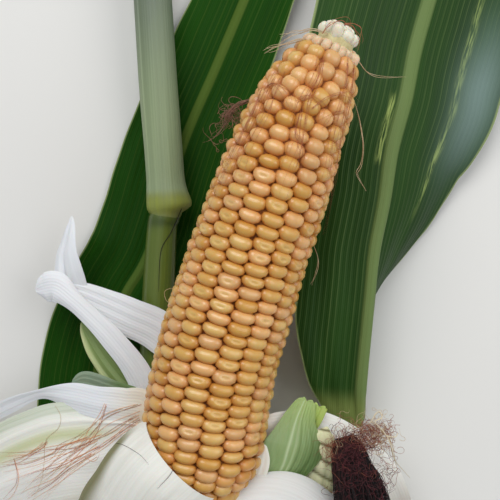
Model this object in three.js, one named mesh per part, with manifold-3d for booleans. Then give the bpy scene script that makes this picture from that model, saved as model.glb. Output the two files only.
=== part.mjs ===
// A cut length of maize stalk that carries one ear with its husks peeled back, the ear's leaf and the leaf
// below it. It lies down. Millimetres and degrees, +Z up, the stalk along Y.
import * as THREE from "three";
import { mergeVertices } from "three/addons/utils/BufferGeometryUtils.js";
import Module from "manifold-3d";

const wasm = await Module();
wasm.setup();

// Driving dimensions
const seat = 0.35; // gap between two pieces that touch on the plant
const sheathGap = 0.45; // between the stalk and a sheath that clasps it
const stalkSides = 12;
const stalkRadius = 7.1;
const innerStalkRadius = 6.6; // where a sheath covers the stalk
const sheathWall = 1.5;
const earRows = 16;
const kernelRings = 30;
const kernelRise = 1.1; // from the mean surface of the ear to a kernel's crown
const kernelGroove = 0.9;
const kernelEdge = 0.1; // below the mean surface, halfway along a kernel's side
const earClearance = 0.55; // of the husks from the kernels' crowns
const huskThickness = 1.9;
const leafThickness = 1.6;
const leafRib = 3.2; // added at the midrib
const fullRibFrom = 12; // half width of a leaf below which its rib thins out
const sheathRib = 0.8;
const shankSides = 12;
const shankSteps = 8;
const originShift = [-9.75, -48.39, -0.31]; // puts the origin under the middle of the whole

// Stalk centre line, from the lower cut to the upper cut: x, y, z, radius
const stalkLine = [
  [-45.5, -216, 10.6, 7.4],
  [-45, -190, 11.4, 7.3],
  [-44, -165, 12.2, 7.2],
  [-43.8, -159, 12.4, 8.2],
  [-43.8, -154, 12.5, 9.6],
  [-43.7, -149, 12.7, 8.4],
  [-43.5, -142, 12.9, stalkRadius],
  [-42.4, -66, 14.3, stalkRadius],
  [-40.7, -22, 15, stalkRadius],
  [-38.9, 10, 15.5, innerStalkRadius],
  [-37.2, 20, 15.7, innerStalkRadius],
  [-40, 66, 16.4, innerStalkRadius],
  [-46, 165, 17.9, innerStalkRadius],
];

// Sheath that clasps the stalk above the upper node, from its flared foot to the cut: y, radius
const upperSheathProfile = [
  [15.5, 8.6],
  [19, 10],
  [23, 9.5],
  [31, 8.7],
  [46, 8.6],
  [66, 8.5],
  [115, 8.2],
  [165, 8],
];

// Sheath of the lower leaf, from the lower cut to its collar: y, radius
const lowerSheathProfile = [
  [-216, 9],
  [-190, 9],
  [-168, 9.4],
];

// Shank that joins the ear to the stalk's node
const shankLine = [
  [-44, -154, 14, 7.6],
  [-37, -139, 27, 8],
  [-30, -124, 40, 8.4],
  [-26, -115, 45.6, 9],
  [-23.4, -104.6, 48, 8.4],
];

// Ear axis, from the foot to the tip, with the radius of its mean surface
const earLine = [
  [-23.2, -104, 48, 8],
  [-22.5, -99.5, 48.4, 14.4],
  [-21.7, -94, 48.9, 19],
  [-20.5, -86, 49.6, 22.4],
  [-19, -77, 50.5, 23.9],
  [-16.9, -60.5, 52, 24.2],
  [-12.4, -40, 54, 24],
  [-6.4, -20, 56, 23.7],
  [0.4, 2, 58.5, 22.7],
  [7, 20, 60.5, 22.3],
  [15.3, 43.2, 62.5, 20.5],
  [23, 60.5, 64.5, 17.9],
  [28.3, 71, 65.2, 14.4],
  [32, 78.6, 65.7, 9.8],
];
const cobTipLine = [
  [32.3, 79, 65.7, 7.4],
  [33.4, 81.4, 65.8, 8.6],
  [35, 84.8, 66, 7.6],
  [36.4, 87.8, 66.2, 4],
];

// Leaves and husks. Each station gives x, y, z, half width, turn about the path, curl of the margins,
// and the fold of the left and the right half at the rib.
const earLeafStations = [
  [43.3, -70.2, 24, 8, -5, -15, 0, -60],
  [45.6, -58, 27, 20, 0, -10, 0, -78],
  [49.4, -34, 31, 30, 0, -8, 0, -80],
  [51.4, -21, 32, 32, 0, -10, 0, -76],
  [53.5, 0, 32, 35, 0, -24, 0, -50],
  [57.5, 21.3, 31, 38, 0, -24, 0, -34],
  [60.8, 42.8, 29, 42, 0, -20, 0, -20],
  [66.9, 64.7, 26, 45, 0, -16, 0, -12],
  [71.7, 87, 23, 47, 0, -16, 0, -8],
  [78.3, 109.4, 20, 48, 0, -18, 0, -6],
  [87, 137, 17.5, 47, -4, -18, 0, 0],
  [97, 165, 15, 45, -6, -14, 0, 0],
  [109, 194, 12, 41, -4, -12, 0, 0],
  [123, 224, 9, 35, 0, -10, 0, 0],
  [139, 256, 6.6, 26, 3, -8, 0, 0],
  [154, 287, 5, 15, 3, -5, 0, 0],
  [166, 312, 4, 2.5, 0, 0, 0, 0],
];
const earLeafSheathStations = [
  [-33.2, -153, 12.6, 13, 90, 76],
  [-29, -138, 11.5, 18, 66, 66],
  [-12, -120, 10, 22, 36, 46],
  [13, -98, 12, 20, 12, 42],
  [33, -80.5, 18, 13, 0, 38],
  [42.6, -71.4, 23, 8, -5, 30],
];
const backLeafStations = [
  [-54.3, -166, 12.2, 12, -90, 70],
  [-60, -147, 9.6, 15, -60, 52],
  [-67, -122, 5.6, 20, -22, 24],
  [-71, -96, 3.6, 24, -6, 8],
  [-71, -70, 3, 26, 4, 8],
  [-67, -45, 3, 27, 5, 6],
  [-57, -21, 3, 27, 3, 4],
  [-45.6, 0, 3, 27, 0, 4],
  [-30.5, 48, 3, 26, 0, 4],
  [-16, 82, 3.4, 24, 2, 7],
  [-2.3, 114, 5, 22, 4, 7],
  [9, 141, 6.4, 19, 0, 0],
  [17.4, 169, 6.4, 14, -6, -6],
  [22.4, 192, 4.6, 8, -5, -5],
  [25, 209, 3.2, 2, 0, 0],
];

const huskStations = {
  husk_front: [
    [-30.5, -78.5, 75, 25, -20, -60],
    [-40.3, -88.1, 74.6, 23.2, -16, -50],
    [-48.7, -101.1, 69, 21.6, -12, -42],
    [-56.8, -115.1, 59, 20.8, -8, -38],
    [-68.2, -129.5, 45.6, 20, -6, -34],
    [-82, -144, 30, 17, -4, -26],
    [-96, -158, 14.6, 11, 0, -14],
    [-107, -168, 4.4, 4, 0, -4],
  ],
  husk_front_right: [
    [-18.6, -113.5, 56.2, 3.4, 0, 0],
    [-6, -105, 60, 10, 0, -34],
    [10, -104, 58, 17, 0, -58],
    [25, -115, 50, 19, 0, -58],
    [36, -134, 36, 18, 0, -44],
    [45, -156, 19, 13, 0, -24],
    [51, -172, 6, 6, 0, -6],
  ],
  husk_lower_left: [
    [-34.6, -108, 49.6, 3.2, 0, 0],
    [-45, -88, 45, 12, 0, -8],
    [-62, -83.5, 42, 19, -6, -18],
    [-83, -87, 34, 22, -4, -24],
    [-105, -97, 23, 21, 0, -22],
    [-127, -110, 12, 15, 2, -12],
    [-146, -121, 4, 5, 0, -4],
  ],
  husk_left: [
    [-34, -106, 42.6, 3.2, 0, 0],
    [-40.5, -84, 40.6, 5, 0, 0],
    [-46, -67, 38.4, 7.2, 0, -12],
    [-60, -63.4, 36, 7.6, 0, -16],
    [-76, -62, 31, 6, 0, -16],
    [-90, -62, 26, 2.4, 20, 0],
    [-104, -67.5, 20, 3.4, 10, 10],
    [-121, -76.5, 11.5, 3.6, 0, 8],
    [-137, -85.5, 3.6, 2, 0, 0],
  ],
  husk_ribbon: [
    [-30.6, -104.5, 37.8, 3, 0, 0],
    [-39.5, -78, 31.6, 5, 0, 0],
    [-46.6, -55, 31, 5.6, 0, -10],
    [-58.5, -38.6, 30.4, 5.4, 0, -14],
    [-69, -27.6, 29, 5, 0, -14],
    [-81, -17.6, 27, 5.2, 0, -8],
    [-84, -11, 25, 5.6, 10, 0],
    [-80.4, -2, 22.4, 5.2, 10, 10],
    [-77.8, 7, 20.4, 3.6, 0, 14],
    [-78.2, 15, 19, 1, 0, 0],
  ],
  husk_back: [
    [-25, -103.5, 36, 3, 0, 0],
    [-29.6, -73, 29, 6.4, 0, 0],
    [-32.6, -47, 27.4, 8, 0, 0],
    [-41, -34, 27.2, 8.4, 0, -6],
    [-52, -28.6, 26.4, 8.6, 0, -10],
    [-63, -24.4, 24.4, 7.4, 0, -8],
    [-73, -19.6, 22.4, 5, 0, 0],
  ],
  husk_right: [
    [-17.6, -104.6, 38.4, 3.2, 0, 0],
    [-5, -89, 33.6, 10, 6, -8],
    [9, -81.6, 35.4, 14, 4, -22],
    [25.6, -81.2, 37, 15, 0, -36],
    [40.4, -88.6, 36, 15, -2, -40],
    [53, -103, 31, 14.4, -2, -40],
    [61, -124, 22, 13, 0, -30],
    [66, -148, 8, 8, 0, -10],
  ],
  husk_green: [
    [-13.6, -107.6, 46.8, 3, 0, 0],
    [4, -101, 47.6, 8, -20, 20],
    [14, -91, 47.2, 11, -16, 26],
    [18.2, -80.4, 46.6, 10.4, -6, 26],
    [21.4, -69.6, 43.6, 6.6, 0, 22],
    [23.6, -62, 40.6, 2.6, 0, 6],
  ],
  husk_green_small: [
    [-14.6, -106, 42.6, 2.6, 0, 0],
    [8, -99, 42.2, 4.4, 0, 6],
    [21.6, -86, 42.4, 4.6, 0, 12],
    [27, -74, 40.4, 3.6, 0, 14],
    [31.8, -65.6, 37.4, 1.2, 0, 0],
  ],
  husk_outer: [
    [-27.6, -118, 33.4, 2.8, 0, 0],
    [-35, -88, 27, 5.4, 0, 0],
    [-45, -66, 25.6, 6, 0, -8],
    [-57, -55.4, 24, 6, 0, -12],
    [-66.6, -43.4, 21, 5, 0, -10],
    [-74, -31.6, 17.6, 2, 0, 0],
  ],
};
const silkLine = [
  [38.9, -76.6, 43, 3],
  [40.5, -82, 45, 6.6],
  [43, -90, 46.4, 8.8],
  [45.6, -99, 46, 10.6],
  [47.6, -110, 42.6, 11],
  [49.6, -123, 35, 9.4],
  [51, -136, 25.4, 5],
  [52.4, -143, 19.6, 2],
];
const silkStrands = 12;
const strandSides = 3;
const strandSteps = 4;
const strandReach = 0.78; // share of the tuft that the loose strands run along
const strandRadius = 0.8;

// Shared helpers
const radians = THREE.MathUtils.degToRad;
const worldUp = new THREE.Vector3(0, 0, 1);

function catmullRom(a, b, c, d, f) {
  const first = c - a;
  const second = 2 * a - 5 * b + 4 * c - d;
  const third = 3 * (b - c) + d - a;
  return b + 0.5 * f * (first + f * (second + f * third));
}

function along(stations, t) {
  const last = stations.length - 1;
  const i = Math.min(Math.floor(t * last), last - 1);
  const f = t * last - i;
  const before = stations[Math.max(i - 1, 0)];
  const after = stations[Math.min(i + 2, last)];
  return stations[i].map((value, k) => catmullRom(before[k], value, stations[i + 1][k], after[k], f));
}

// Shares along the stations that lie a like distance apart on the limb's surface
function evenShares(stations, steps) {
  const fine = 12 * steps;
  const reached = [0];
  for (let i = 1; i <= fine; i += 1) {
    const here = along(stations, i / fine);
    const before = along(stations, (i - 1) / fine);
    reached.push(reached[i - 1] + Math.hypot(...here.map((value, k) => value - before[k])));
  }
  const shares = [];
  for (let i = 0, k = 0; i <= steps; i += 1) {
    const wanted = (reached[fine] * i) / steps;
    while (k < fine - 1 && reached[k + 1] < wanted) {
      k += 1;
    }
    shares.push((k + (wanted - reached[k]) / (reached[k + 1] - reached[k])) / fine);
  }
  return shares;
}

function frameAt(stations, t) {
  const step = 1e-3;
  const values = along(stations, t);
  const ahead = along(stations, Math.min(t + step, 1));
  const behind = along(stations, Math.max(t - step, 0));
  const tangent = new THREE.Vector3(ahead[0] - behind[0], ahead[1] - behind[1], ahead[2] - behind[2]);
  tangent.normalize();
  const side = new THREE.Vector3().crossVectors(tangent, worldUp).normalize();
  const normal = new THREE.Vector3().crossVectors(side, tangent);
  return { values, tangent, side, normal, centre: new THREE.Vector3(values[0], values[1], values[2]) };
}

function solidOf(points, faces) {
  const vertProperties = new Float32Array(points.flatMap((p) => [p.x, p.y, p.z]));
  const closed = (triangles) => {
    const triVerts = new Uint32Array(triangles.flat());
    return new wasm.Manifold(new wasm.Mesh({ numProp: 3, vertProperties, triVerts }));
  };
  const solid = closed(faces);
  return solid.volume() > 0 ? solid : closed(faces.map(([a, b, c]) => [a, c, b]));
}

function quad(a, b, c, d) {
  return [[a, b, c], [a, c, d]];
}

// A round limb along stations of x, y, z, radius. The ripple bends each ring's radius.
function limb(stations, sides, steps, { grow = 0, ripple = () => 0 } = {}) {
  const points = [];
  const faces = [];
  const shares = evenShares(stations, steps);
  for (let i = 0; i <= steps; i += 1) {
    const { values, tangent, side, normal, centre } = frameAt(stations, shares[i]);
    const end = i === 0 ? -grow : i === steps ? grow : 0;
    centre.addScaledVector(tangent, end);
    for (let j = 0; j < sides; j += 1) {
      const angle = (2 * Math.PI * j) / sides;
      const radius = values[3] + grow + ripple(i, j, angle);
      const point = centre.clone().addScaledVector(side, radius * Math.cos(angle));
      points.push(point.addScaledVector(normal, radius * Math.sin(angle)));
    }
  }
  for (let i = 0; i < steps; i += 1) {
    for (let j = 0; j < sides; j += 1) {
      const next = (j + 1) % sides;
      faces.push(...quad(i * sides + j, i * sides + next, (i + 1) * sides + next, (i + 1) * sides + j));
    }
  }
  const foot = steps * sides;
  for (let j = 1; j < sides - 1; j += 1) {
    faces.push([0, j + 1, j], [foot, foot + j, foot + j + 1]);
  }
  return solidOf(points, faces);
}

// Share along the stalk's line at which it crosses a given y
function stalkShare(y) {
  let low = 0;
  let high = 1;
  for (let i = 0; i < 30; i += 1) {
    const middle = (low + high) / 2;
    if (along(stalkLine, middle)[1] < y) {
      low = middle;
    } else {
      high = middle;
    }
  }
  return low;
}

// A sheath: a tube open at both ends, round the stalk. Its profile gives y and the outer radius.
function sheath(profile, sides) {
  const points = [];
  const faces = [];
  const steps = profile.length - 1;
  for (const [y, outerRadius] of profile) {
    const { values, side, normal, centre } = frameAt(stalkLine, stalkShare(y));
    for (const radius of [outerRadius, values[3] + sheathGap]) {
      for (let j = 0; j < sides; j += 1) {
        const angle = (2 * Math.PI * j) / sides;
        const point = centre.clone().addScaledVector(side, radius * Math.cos(angle));
        points.push(point.addScaledVector(normal, radius * Math.sin(angle)));
      }
    }
  }
  const ring = (i, inner, j) => (2 * i + inner) * sides + (j % sides);
  for (let i = 0; i < steps; i += 1) {
    for (let j = 0; j < sides; j += 1) {
      faces.push(...quad(ring(i, 0, j), ring(i, 0, j + 1), ring(i + 1, 0, j + 1), ring(i + 1, 0, j)));
      faces.push(...quad(ring(i, 1, j), ring(i + 1, 1, j), ring(i + 1, 1, j + 1), ring(i, 1, j + 1)));
    }
  }
  for (let j = 0; j < sides; j += 1) {
    faces.push(...quad(ring(0, 0, j), ring(0, 1, j), ring(0, 1, j + 1), ring(0, 0, j + 1)));
    faces.push(...quad(ring(steps, 0, j), ring(steps, 0, j + 1), ring(steps, 1, j + 1), ring(steps, 1, j)));
  }
  return solidOf(points, faces);
}

// Place across a leaf's section at u, from -1 at the left margin to 1 at the right one
function sectionPoint(values, u, extraWidth) {
  const half = values[3] + extraWidth;
  const fold = radians((u < 0 ? values[6] : values[7]) ?? 0);
  const curl = radians(values[5]);
  const reach = Math.abs(u);
  const slope = fold + curl * reach;
  let out = half * reach * Math.cos(fold);
  let rise = half * reach * Math.sin(fold);
  if (Math.abs(curl) > 1e-4) {
    out = (half * (Math.sin(slope) - Math.sin(fold))) / curl;
    rise = (half * (Math.cos(fold) - Math.cos(slope))) / curl;
  }
  const hand = Math.sign(u) || 1;
  const tilt = u === 0 ? 0 : slope;
  return { out: hand * out, rise, lean: -hand * Math.sin(tilt), lift: Math.cos(tilt) };
}

// A leaf or husk: a thin closed blade, thicker along its rib
function blade(stations, { steps, across, thickness, rib = 0 }, grow = 0) {
  const points = [];
  const faces = [];
  const width = across + 1;
  for (const hand of [1, -1]) {
    for (let i = 0; i <= steps; i += 1) {
      const { values, tangent, side, normal, centre } = frameAt(stations, i / steps);
      const turn = radians(values[4]);
      const right = side.clone().multiplyScalar(Math.cos(turn)).addScaledVector(normal, Math.sin(turn));
      const face = normal.clone().multiplyScalar(Math.cos(turn)).addScaledVector(side, -Math.sin(turn));
      const end = i === 0 ? -grow : i === steps ? grow : 0;
      centre.addScaledVector(tangent, end);
      for (let j = 0; j <= across; j += 1) {
        const u = (2 * j) / across - 1;
        const { out, rise, lean, lift } = sectionPoint(values, u, grow);
        const ribShare = Math.min(1, values[3] / fullRibFrom) * (1 - Math.abs(u)) ** 3;
        const half = (thickness + rib * ribShare) / 2 + grow;
        const point = centre.clone().addScaledVector(right, out + hand * half * lean);
        points.push(point.addScaledVector(face, rise + hand * half * lift));
      }
    }
  }
  const layer = (steps + 1) * width;
  const at = (side, i, j) => side * layer + i * width + j;
  for (let i = 0; i < steps; i += 1) {
    for (let j = 0; j < across; j += 1) {
      faces.push(...quad(at(0, i, j), at(0, i, j + 1), at(0, i + 1, j + 1), at(0, i + 1, j)));
      faces.push(...quad(at(1, i, j), at(1, i + 1, j), at(1, i + 1, j + 1), at(1, i, j + 1)));
    }
    faces.push(...quad(at(0, i, 0), at(0, i + 1, 0), at(1, i + 1, 0), at(1, i, 0)));
    faces.push(...quad(at(0, i, across), at(1, i, across), at(1, i + 1, across), at(0, i + 1, across)));
  }
  for (let j = 0; j < across; j += 1) {
    faces.push(...quad(at(0, 0, j), at(1, 0, j), at(1, 0, j + 1), at(0, 0, j + 1)));
    faces.push(...quad(at(0, steps, j), at(0, steps, j + 1), at(1, steps, j + 1), at(1, steps, j)));
  }
  return solidOf(points, faces);
}

// Cuts a solid clear of its neighbours and keeps its main body
function clearOf(solid, neighbours) {
  let left = solid;
  for (const neighbour of neighbours) {
    left = left.subtract(neighbour);
  }
  const bodies = left.decompose();
  return bodies.reduce((best, body) => (body.volume() > best.volume() ? body : best));
}

const group = new THREE.Group();

function addPiece(name, solid, colour, roughness) {
  const mesh = solid.getMesh();
  const positions = new Float32Array((mesh.vertProperties.length / mesh.numProp) * 3);
  for (let i = 0; i < positions.length / 3; i += 1) {
    positions.set(mesh.vertProperties.subarray(i * mesh.numProp, i * mesh.numProp + 3), i * 3);
  }
  const raw = new THREE.BufferGeometry();
  raw.setAttribute("position", new THREE.BufferAttribute(positions, 3));
  raw.setIndex(new THREE.BufferAttribute(Uint32Array.from(mesh.triVerts), 1));
  const geometry = mergeVertices(raw, 1e-4);
  const material = new THREE.MeshStandardMaterial({ color: colour, roughness, metalness: 0 });
  const piece = new THREE.Mesh(geometry, material);
  piece.name = name;
  piece.position.set(...originShift);
  group.add(piece);
}

// Stalk and its two sheaths
const stalkSteps = 40;
const stalk = limb(stalkLine, stalkSides, stalkSteps);
const stalkSpace = limb(stalkLine, stalkSides, stalkSteps, { grow: seat });
addPiece("stalk", stalk, 0x7a8a45, 0.45);
addPiece("upper_sheath", clearOf(sheath(upperSheathProfile, stalkSides), [stalkSpace]), 0x84906b, 0.6);
addPiece("lower_sheath", sheath(lowerSheathProfile, stalkSides), 0x84906b, 0.6);

// Ear, on its shank
function kernelRipple(i, j) {
  const inRing = i % 2 === 1;
  const inRow = j % 2 === 1;
  if (inRing && inRow) {
    return kernelRise;
  }
  return inRing || inRow ? -kernelEdge : -kernelGroove;
}
const earSides = 2 * earRows;
addPiece("ear", limb(earLine, earSides, 2 * kernelRings, { ripple: kernelRipple }), 0xdba85e, 0.35);
const earSpace = limb(earLine, earSides, kernelRings, { grow: kernelRise + earClearance });
const shank = limb(shankLine, shankSides, shankSteps);
const shankSpace = limb(shankLine, shankSides, shankSteps, { grow: seat });
addPiece("ear_shank", clearOf(shank, [stalkSpace, earSpace]), 0xc9cf9c, 0.6);
const tipRipple = (i, j) => (i % 2 === j % 2 ? 0.6 : -0.4);
addPiece("cob_tip", limb(cobTipLine, 12, 6, { ripple: tipRipple }), 0xe6dcc2, 0.6);

// Husks, from the innermost outwards. Each is cut clear of those before it.
const huskAcross = 4;
const greenHusks = ["husk_green", "husk_green_small", "husk_outer"];
const carried = [earSpace, shankSpace, stalkSpace];
const huskSpaces = [];
for (const [name, stations] of Object.entries(huskStations)) {
  const huskShape = { steps: 2 * (stations.length - 1), across: huskAcross, thickness: huskThickness };
  const husk = clearOf(blade(stations, huskShape), [...carried, ...huskSpaces]);
  huskSpaces.push(blade(stations, huskShape, seat));
  addPiece(name, husk, greenHusks.includes(name) ? 0xa9bf85 : 0xe9e6da, 0.55);
}

// Dried silk that lies on the right husk
function silkTuft() {
  const crease = (i, j) => (j % 2 === 0 ? 0.5 : -0.5) + 0.4 * Math.sin(i * 1.7 + j);
  let tuft = limb(silkLine, 10, 8, { ripple: crease });
  for (let k = 0; k < silkStrands; k += 1) {
    const angle = Math.PI * (k / (silkStrands - 1));
    const reach = 3 + 2.4 * ((k * 7) % 5) / 4;
    const strand = [0, 0.3, 0.65, 1].map((t) => {
      const { values, side, normal, centre } = frameAt(silkLine, t * strandReach);
      const out = values[3] * 0.86 + reach * Math.sin(Math.PI * t) * 0.5;
      centre.addScaledVector(side, out * Math.cos(angle)).addScaledVector(normal, out * Math.sin(angle));
      return [...centre.toArray(), strandRadius];
    });
    tuft = tuft.add(limb(strand, strandSides, strandSteps));
  }
  return tuft;
}
const silk = clearOf(silkTuft(), [...carried, ...huskSpaces]);
addPiece("silk_tuft", silk, 0x3a2020, 0.8);

// The ear's own leaf, on its sheath, and the leaf below, on the lower sheath
const leafShape = { steps: 26, across: 6, thickness: leafThickness, rib: leafRib };
const sheathShape = { steps: 10, across: 6, thickness: sheathWall, rib: sheathRib };
const lowerSheathLine = lowerSheathProfile.map(([y, radius]) => {
  const [x, here, z] = along(stalkLine, stalkShare(y));
  return [x, here, z, radius];
});
const lowerSheathSpace = limb(lowerSheathLine, stalkSides, 4, { grow: seat });
const held = [...carried, lowerSheathSpace];
const leafSheath = clearOf(blade(earLeafSheathStations, sheathShape), [...held, ...huskSpaces]);
const leafSheathSpace = blade(earLeafSheathStations, sheathShape, seat);
addPiece("ear_leaf_sheath", leafSheath, 0x7f9450, 0.55);
const earLeaf = clearOf(blade(earLeafStations, leafShape), [leafSheathSpace, ...huskSpaces]);
addPiece("ear_leaf", earLeaf, 0x2f4f1d, 0.45);
addPiece("back_leaf", clearOf(blade(backLeafStations, leafShape), held), 0x27401b, 0.45);

export default group;
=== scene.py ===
# A cut length of maize stalk with a peeled ear, the ear's leaf and the leaf below it, lying on a pale floor.
import math

import bpy
import numpy as np
from mathutils import Matrix, Vector
from mathutils.bvhtree import BVHTree


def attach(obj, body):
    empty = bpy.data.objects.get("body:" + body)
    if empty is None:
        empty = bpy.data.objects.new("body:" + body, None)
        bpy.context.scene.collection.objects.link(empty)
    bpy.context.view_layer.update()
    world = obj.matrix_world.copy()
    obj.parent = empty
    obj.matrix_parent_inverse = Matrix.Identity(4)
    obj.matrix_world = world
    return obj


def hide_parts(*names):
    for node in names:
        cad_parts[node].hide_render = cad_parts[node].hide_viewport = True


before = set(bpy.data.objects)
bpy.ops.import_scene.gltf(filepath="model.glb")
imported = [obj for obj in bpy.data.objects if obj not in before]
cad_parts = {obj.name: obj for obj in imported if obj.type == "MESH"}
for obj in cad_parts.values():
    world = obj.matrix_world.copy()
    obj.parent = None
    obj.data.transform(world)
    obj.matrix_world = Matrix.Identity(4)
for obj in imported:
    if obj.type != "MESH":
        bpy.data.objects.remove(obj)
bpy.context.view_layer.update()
print("stage: plant frame loaded")

millimetre = 0.001
originShift = np.array([-9.75, -48.39, -0.31])  # from the stations' own zero to the plant's
dice = np.random.default_rng(20)


# Camera, floor and light
view = {"height": 430.0, "halfField": 0.2669, "pixels": 500}
eyePlace = originShift + (0, 0, view["height"])
studio = {
    "floorSize": 8.0,
    "floorTone": (232, 231, 227),
    "floorRoughness": 0.75,
    "skyTint": (0.93, 0.96, 1.0, 1.0),
    "skyStrength": 0.37,
    "lampTarget": (-0.01, -0.04, 0.03),
}
lamps = {  # power, size and place
    "keyLamp": (8.2, 0.9, (-0.3, 0.66, 1.0)),
    "fillLamp": (4.6, 1.0, (0.75, 0.1, 0.85)),
}


def colour(*tone):
    shares = np.array(tone) / 255
    linear = np.where(shares < 0.04045, shares / 12.92, ((shares + 0.055) / 1.055) ** 2.4)
    return (*linear.tolist(), 1.0)


def addObject(name, data):
    made = bpy.data.objects.new(name, data)
    bpy.context.scene.collection.objects.link(made)
    return made


def node(tree, kind, inputs=None, **settings):
    made = tree.nodes.new(kind)
    for key, value in settings.items():
        setattr(made, key, value)
    for key, value in (inputs or {}).items():
        if isinstance(value, bpy.types.NodeSocket):
            tree.links.new(value, made.inputs[key])
        else:
            made.inputs[key].default_value = value
    return made


def startFinish(name, roughness, **fixed):
    material = bpy.data.materials.new(name)
    material.use_nodes = True
    shader = material.node_tree.nodes["Principled BSDF"]
    shader.inputs["Roughness"].default_value = roughness
    for key, value in fixed.items():
        shader.inputs[key.replace("_", " ")].default_value = value
    return material


def makeCamera():
    lens = bpy.data.cameras.new("overheadCamera")
    lens.angle = 2 * math.atan(view["halfField"])
    camera = addObject("overheadCamera", lens)
    camera.location = eyePlace * millimetre
    bpy.context.scene.camera = camera


def makeLamp(name, power, size, place):
    lamp = bpy.data.lights.new(name, "AREA")
    lamp.shape = "DISK"
    lamp.size = size
    lamp.energy = power
    stand = addObject(name, lamp)
    stand.location = place
    heading = Vector(studio["lampTarget"]) - stand.location
    stand.rotation_euler = heading.to_track_quat("-Z", "Y").to_euler()


def makeSky():
    world = bpy.data.worlds.new("paleStudio")
    world.use_nodes = True
    sky = world.node_tree.nodes["Background"]
    sky.inputs["Color"].default_value = studio["skyTint"]
    sky.inputs["Strength"].default_value = studio["skyStrength"]
    bpy.context.scene.world = world
    bpy.context.scene.view_settings.view_transform = "Standard"


def makeFloor():
    reach = studio["floorSize"] / 2
    corners = [(-reach, -reach, 0), (reach, -reach, 0), (reach, reach, 0), (-reach, reach, 0)]
    mesh = bpy.data.meshes.new("paleFloor")
    mesh.from_pydata(corners, [], [(0, 1, 2, 3)])
    tone = colour(*studio["floorTone"])
    mesh.materials.append(startFinish("paleFloor", studio["floorRoughness"], Base_Color=tone))
    addObject("paleFloor", mesh)


makeCamera()
makeSky()
for lampName, lampRule in lamps.items():
    makeLamp(lampName, *lampRule)
makeFloor()
print("stage: camera, floor and light")


def stray(reach, size=None):
    return dice.uniform(-reach, reach, size)


# Paths: stations are camera-centred millimetres, the same rule as the plant's solids
def along(stations, t):
    table = np.array([list(row) + [0] * (8 - len(row)) for row in stations], float)
    last = len(table) - 1
    i = np.clip((t * last).astype(int), 0, last - 1)
    f = (t * last - i)[:, None]
    a, b, c, d = (table[np.clip(i + k, 0, last)] for k in (-1, 0, 1, 2))
    return b + 0.5 * f * (c - a + f * (2 * a - 5 * b + 4 * c - d + f * (3 * (b - c) + d - a)))


def unit(vectors):
    return vectors / np.linalg.norm(vectors, axis=-1, keepdims=True)


# The stations' values at t, with the path's own directions: ahead, to the side and up
def frames(stations, t, nudge=1e-3):
    ahead = along(stations, np.minimum(t + nudge, 1))[:, :3]
    behind = along(stations, np.maximum(t - nudge, 0))[:, :3]
    tangent = unit(ahead - behind)
    side = unit(np.cross(tangent, [0, 0, 1]))
    return along(stations, t), tangent, side, np.cross(side, tangent)


def runOf(stations, t):
    centre = along(stations, t)[:, :3]
    return np.concatenate([[0], np.cumsum(np.linalg.norm(np.diff(centre, axis=0), axis=1))])


def smoothStep(low, high, x):
    share = np.clip((x - low) / (high - low), 0, 1)
    return share * share * (3 - 2 * share)


def bell(x, place, width):
    return np.exp(-((x - place) / width) ** 2)


# Meshes
creaseAngle = math.radians(55)
dressed = []  # every piece that stands for a node, for threads to lie on


def gridFaces(rows, columns, start=0, wrap=False, flip=False):
    i, j = np.meshgrid(np.arange(rows - 1), np.arange(columns if wrap else columns - 1), indexing="ij")
    k = (j + 1) % columns
    corners = [i * columns + j, i * columns + k, (i + 1) * columns + k, (i + 1) * columns + j]
    faces = np.stack(corners, axis=-1).reshape(-1, 4) + start
    return (faces[:, ::-1] if flip else faces).tolist()


def startMesh(name, points, edges=(), faces=()):
    mesh = bpy.data.meshes.new(name)
    mesh.from_pydata(((np.asarray(points) + originShift) * millimetre).tolist(), edges, faces)
    return mesh


def addField(mesh, name, values, kind="FLOAT", member="value"):
    values = np.asarray(values, np.int32 if kind == "INT" else np.float32)
    mesh.attributes.new(name, kind, "POINT").data.foreach_set(member, values.ravel())


def meshOf(name, points, faces, finish, uv=None, masks=None):
    mesh = startMesh(name, points, faces=faces)
    mesh.shade_smooth()
    mesh.set_sharp_from_angle(angle=creaseAngle)
    if uv is not None:
        corners = np.empty(len(mesh.loops), int)
        mesh.loops.foreach_get("vertex_index", corners)
        layer = mesh.uv_layers.new(name="grain")
        layer.data.foreach_set("uv", uv[corners].astype(np.float32).ravel())
    for key, mask in (masks or {}).items():
        addField(mesh, key, mask)
    mesh.materials.append(finish)
    mesh.validate()
    return addObject(name, mesh)


def own(piece, slot, *nodes):
    dressed.append(piece)
    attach(piece, "root")
    if nodes:
        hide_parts(*nodes)
    return piece


# Finishes: each helper works in the node tree of its first socket
def calc(operation, a, b=0.0, c=0.5):
    return node(a.id_data, "ShaderNodeMath", {0: a, 1: b, 2: c}, operation=operation).outputs[0]


def times(a, b):
    return calc("MULTIPLY", a, b)


def noise(vector, scale, detail=3.0, rough=0.55):
    inputs = {"Vector": vector, "Scale": scale, "Detail": detail, "Roughness": rough}
    return node(vector.id_data, "ShaderNodeTexNoise", inputs).outputs["Fac"]


def spread(value, low, high):
    inputs = {0: value, 1: low, 2: high, 3: 0.0, 4: 1.0}
    return node(value.id_data, "ShaderNodeMapRange", inputs).outputs[0]


# Noise on a stretched grain, cut to its part between two levels
def streaks(vector, stretch, detail, low, high):
    drawn = node(vector.id_data, "ShaderNodeMapping", {"Vector": vector, "Scale": stretch}).outputs[0]
    return spread(noise(drawn, 1.0, detail), low, high)


def blended(share, a, b, kind="MIX"):
    inputs = {0: share, 6: a, 7: b}
    return node(share.id_data, "ShaderNodeMix", inputs, data_type="RGBA", blend_type=kind).outputs[2]


# Lays coats over a tone, each a share and its colour
def layered(tone, *coats):
    for share, coat in coats:
        tone = blended(share, tone, colour(*coat))
    return tone


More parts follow.
